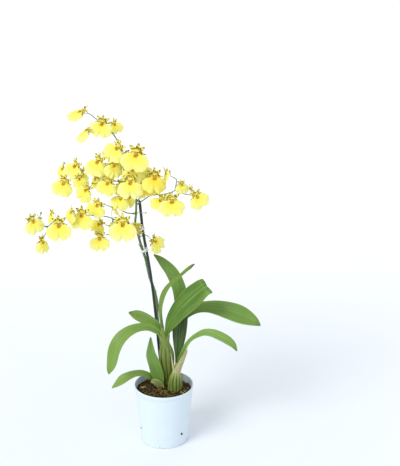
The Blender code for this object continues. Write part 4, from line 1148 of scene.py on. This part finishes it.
def build_leaves(green, papery):
    """One piece for each leaf and bract, and one of the dry sheaths that wrap their feet. A blade keeps its
    first facing down its foot, and changes it only above, along its stations."""
    for i, (name, (fold, closed, tone)) in enumerate(LEAF_LOOKS.items()):
        ways, stations = LEAVES[name]
        feet = LEAF_FEET[name]
        spaces = len(stations) - 1
        above = np.linspace(0, len(feet) + spaces, 60) - len(feet)
        facing = between(ways, np.clip(above / spaces, 0, 1))
        dry = name.startswith("bract")
        material, slot, ending = (papery, "dry_bract", "sheath") if dry else (green, "leaf_green", "blade")
        piece = Piece()
        thickness = BRACT_THICKNESS if dry else LEAF_THICKNESS
        piece.add(leaf_patch([*feet, *stations], facing, fold, closed, i, thickness), tone)
        piece.make(f"{name}_{ending}", material, slot, name, sharp=60)
    neck = Piece()
    for foot, top, out, radius, open_angle, tone in NECK_SHEATHS:
        foot, reach = np.array(foot), np.array(top) - np.array(foot)
        out = unit(np.cross(np.cross(reach, out), reach))
        length = np.linalg.norm(reach)
        neck.add(clasping_bract(foot, reach / length, out, radius, length, open_angle, 0.02), tone)
    neck.make("bract_neck_sheath", papery, "dry_bract", "bract_neck", sharp=60)


def build_bulbs(material):
    """A flattened pear: base + h * axis + R(h) * (cos a * side + depth * sin a * front) at share h up its
    axis, with R from the profile, pinched by narrow furrows that run up it."""
    for i, (name, (base, neck, half_width, depth)) in enumerate(BULBS.items()):
        base, neck = np.array(base), np.array(neck)
        axis = neck - base
        side = unit(np.cross((0, -1, 0), axis))
        front = unit(np.cross(side, axis))
        rows, cols = 72, 120
        profile = smooth_route(BULB_PROFILES[name], rows)
        share, radius = profile[:, :1], profile[:, 1:] * half_width
        angle = np.linspace(0, 2 * np.pi, cols, endpoint=False)
        wander = 0.10 * np.sin(3.1 * share + i) + 0.05 * np.sin(9 * share)
        waves = 9 + 2 * i
        furrow = (0.5 + 0.5 * np.cos(waves * (angle + wander))) ** 5
        fine = (0.5 + 0.5 * np.cos((2 * waves + 3) * (angle + 0.7 * wander) + 1.0)) ** 4
        strength = np.sin(np.pi * np.clip(share, 0.0, 1.0)) ** 0.5
        pinch = 1 - (0.130 * furrow + 0.040 * fine) * strength
        ring = np.cos(angle)[:, None] * side + depth * np.sin(angle)[:, None] * front
        grid = base + share[..., None] * axis + (radius * pinch)[..., None] * ring
        bulb = Piece()
        marks = np.clip(furrow + 0.5 * fine, 0, 1) * strength
        bulb.add(ringed(grid[::-1], angle / (2 * np.pi), share[::-1], marks[::-1]), (1.0 * i, 0.0, 0.0))
        bulb.make(f"bulb_{name[11:]}", material, "bulb_green", name, sharp=70)


def petal(length, width, spread, bend, cup, phase, base=(0.0, 0.0, 0.0), peak=1.25, blunt=0.6):
    """A petal standing in XZ that faces -Y: length * s outwards at the spread angle from upright and
    half width * bell(s) * a sideways, with bell = sin(pi (0.08 + 0.92 s)^peak)^blunt. It leans back by
    bend * s^2, and its edges are cupped by cup * a^2 and waved."""
    s, a = np.linspace(0, 1, 13)[:, None], np.linspace(-1, 1, 7)[None, :]
    bell = np.maximum(np.sin(np.pi * (0.08 + 0.92 * s) ** peak), 0.02) ** blunt
    spread = math.radians(spread)
    out, over = length * s + 0 * a, width / 2 * bell * a
    depth = bend * s**2 + cup * a**2 * bell + 0.0005 * a * np.sin(8 * s + phase) * s
    x = out * math.sin(spread) + over * math.cos(spread)
    z = out * math.cos(spread) - over * math.sin(spread)
    return sheet(np.stack([x, depth, z], -1) + np.asarray(base), 0.00035, a, s)


def lip_patch(draw, ruffle):
    """The lip: a fan from its waist. At angle f from straight down and share s outwards it reaches r(f) * s,
    r = LIP_REACH * (1 + 0.25 sin^2 f) * cos(0.78 f)^0.62, with a notch in the middle. It stands forward by a
    low swell that droops to the edge, with a groove down the middle and a ruffle that grows to the edge."""
    s = np.linspace(0.05, 1, 19)[:, None]
    most = math.radians(LIP_SPREAD)
    f = np.linspace(most, -most, 49)[None, :]
    frill = np.sin(draw.uniform(10, 13) * f + draw.uniform(0, 6))
    frill = frill + 0.6 * np.sin(draw.uniform(19, 24) * f + draw.uniform(0, 6))
    notch = 1 - 0.24 * np.exp(-((f / 0.13) ** 2))
    reach = LIP_REACH * (1 + 0.25 * np.sin(f) ** 2) * np.cos(0.78 * f) ** 0.62 * notch * (1 + 0.03 * frill)
    x, down = reach * s * np.sin(f), reach * s * np.cos(f)
    swell = 0.0034 * np.sin(np.pi * s**0.8 * 0.62)
    droop = -draw.uniform(0.001, 0.005) * s**3 - draw.uniform(0.0, 0.004) * (x / 0.0175) ** 2
    groove = -0.0012 * np.exp(-((f / 0.09) ** 2)) * s
    out = swell + droop + groove + ruffle * s**3 * frill
    sine, cosine = math.sin(math.radians(LIP_TILT)), math.cos(math.radians(LIP_TILT))
    grid = np.stack([x, -sine * down - cosine * out, -cosine * down + sine * out], -1)
    return sheet(grid + (0, -0.0012, -0.0038), 0.0004, f / most, s)


def flower_patches(draw, depth):
    """(patch, tone) of each part of one flower: crest at the origin, facing -Y, lip hanging to -Z."""
    plain, barred, spotted = (0.0, 0.0, depth), (1.0, 0.0, depth), (0.0, 1.0, depth)
    wave = draw.uniform(0, 6, 8)
    parts = [(lip_patch(draw, draw.uniform(0.0009, 0.0014)), plain)]
    sepal = {"peak": 0.85, "blunt": 0.9}
    parts.append((petal(0.0165, 0.0056, draw.normal(0, 7), -0.0030, -0.0010, wave[0], **sepal), barred))
    for side in (-1, 1):
        spread, drop = side * (50 + draw.normal(0, 7)), side * (104 + draw.normal(0, 8))
        parts.append((petal(0.0155, 0.0070, spread, 0.0020, 0.0008, wave[1 + side], **sepal), barred))
        behind = (0, 0.0006, 0)
        parts.append((petal(0.0150, 0.0046, drop, 0.0030, 0.0006, wave[3 + side], behind, **sepal), barred))
        foot = (side * 0.0010, -0.0014, -0.0022)
        parts.append((petal(0.0058, 0.0058, side * 88, 0.0006, -0.0006, wave[5 + side], foot), plain))
        foot = (side * 0.0008, -0.0036, 0.0030)
        parts.append((petal(0.0028, 0.0024, side * 60, -0.0008, 0.0, wave[5], foot), plain))
        for i in range(3):
            knob = (side * (0.0011 + 0.0004 * i), -0.0032 - 0.0003 * i, 0.0002 - 0.0016 * i)
            parts.append((pebble(knob, (0.0010, 0.0012, 0.0009), 5, 8), spotted))
    crest = pebble((0, -0.0014, -0.0016), (0.0022, 0.0024, 0.0034), 9, 14, 0.10, int(100 * wave[0]))
    parts.append((crest, spotted))
    column = [(0, 0.0004, -0.001), (0, -0.0010, 0.0012), (0, -0.0022, 0.0030), (0, -0.0034, 0.0044)]
    radii = (0.0017, 0.0016, 0.0015, 0.0014, 0.0014, 0.0015, 0.0017, 0.0016, 0.0008)
    parts.append((tube(smooth_route(column, 9), radii, 10), plain))
    parts.append((pebble((0, -0.0041, 0.0046), (0.0012, 0.0011, 0.0010), 6, 10), plain))
    return parts


def build_flowers(material):
    """Each flower has its own ruffles and its own depth of yellow: a random tone, but on the listed flowers
    with lips in shadow an orange-yellow that is painted shade. The opening buds are one piece, each a fan of
    five narrow petals round a small heart."""
    for i, flower in enumerate([*FLOWERS, *INNER_BLOOMS], 1):
        draw = np.random.default_rng(100 + i)
        # The listed flowers take an orange-yellow as painted shade; the rest a random depth of their own
        # yellow.
        depth = SHADED_LIP_FLOWERS.get(i, draw.uniform(0.0, 0.22))
        bloom, matrix = Piece(), flower_turn(flower)
        for patch, tone in flower_patches(draw, depth):
            bloom.add(moved(patch, matrix, flower[:3], flower[6]), tone)
        node = [f"flower_{i:02d}"] if i <= len(FLOWERS) else []
        bloom.make(f"bloom_{i:02d}", material, "petal_yellow", *node, sharp=60)
    draw, opening = np.random.default_rng(77), Piece()
    for x, y, z, size in OPENING_BUDS:
        for spread in (-62, -30, 0, 28, 60):
            bend = draw.uniform(-0.002, 0.003)
            narrow = petal(0.0085, 0.0034, spread, bend, 0.0006, spread, peak=0.85, blunt=0.9)
            opening.add(moved(narrow, np.eye(3), (x, y, z), size), (1.0, 0.0, 0.3))
        heart = pebble((x, y - 0.001, z), (0.0016 * size, 0.0016 * size, 0.0022 * size), 7, 10)
        opening.add(heart, (0.0, 1.0, 0.0))
    opening.make("bloom_opening", material, "petal_yellow", sharp=60)


def build_stage(material):
    """A flat square of floor just under the pot."""
    span = np.linspace(-STAGE_SIZE / 2, STAGE_SIZE / 2, 3)
    x, y = np.meshgrid(span, span, indexing="ij")
    points = np.stack([x, y, np.full_like(x, -0.0002)], -1).reshape(-1, 3)
    mesh = bpy.data.meshes.new("stage_floor")
    mesh.from_pydata(points.tolist(), [], lattice(3, 3).tolist())
    mesh.materials.append(material)
    floor = bpy.data.objects.new("stage_floor", mesh)
    bpy.context.scene.collection.objects.link(floor)
    floor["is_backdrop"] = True


def light_scene():
    """Wide soft suns and an even pale sky."""
    for name, way, strength, width, colour in LAMPS:
        lamp = bpy.data.lights.new(name, "SUN")
        lamp.energy, lamp.angle, lamp.color = strength, math.radians(width), colour
        obj = bpy.data.objects.new(name, lamp)
        obj.rotation_euler = (-Vector(way)).to_track_quat("-Z", "Y").to_euler()
        bpy.context.scene.collection.objects.link(obj)
    world = bpy.data.worlds.new("sky")
    world.use_nodes = True
    sky = world.node_tree.nodes["Background"]
    sky.inputs["Color"].default_value = (*SKY_COLOUR, 1.0)
    sky.inputs["Strength"].default_value = SKY_STRENGTH
    bpy.context.scene.world = world
    bpy.context.scene.view_settings.view_transform = "Standard"


def place_camera():
    """A long lens, looking down by CAMERA_PITCH degrees."""
    camera = bpy.data.cameras.new("camera")
    camera.lens = CAMERA_LENS
    camera.clip_end = 100.0
    obj = bpy.data.objects.new("camera", camera)
    obj.location = CAMERA_PLACE
    obj.rotation_euler = (math.radians(90 - CAMERA_PITCH), 0.0, 0.0)
    bpy.context.scene.collection.objects.link(obj)
    bpy.context.scene.camera = obj


def write_sizes(cad_box):
    """The CAD model's box and the visual model's, worked out as lists and not kept."""
    boxes = {"cad": cad_box, "visual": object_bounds()}
    boxes = {label: [list(corner) for corner in box] for label, box in boxes.items()}


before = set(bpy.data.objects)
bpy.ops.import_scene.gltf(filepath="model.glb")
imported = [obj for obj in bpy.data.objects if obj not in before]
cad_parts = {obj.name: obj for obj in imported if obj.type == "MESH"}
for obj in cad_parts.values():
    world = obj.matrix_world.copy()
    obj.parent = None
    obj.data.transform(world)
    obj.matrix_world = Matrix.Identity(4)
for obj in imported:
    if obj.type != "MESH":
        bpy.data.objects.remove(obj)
cad_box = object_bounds()
place_camera()
light_scene()
build_stage(stage_paper())
build_pot(pot_plastic())
build_mix(bark_mix())
build_stake(stake_coat())
build_ties(tie_wire())
build_spray(green_stem())
build_bulbs(bulb_green())
build_leaves(leaf_green(), dry_bract())
build_flowers(petal_yellow())
write_sizes(cad_box)
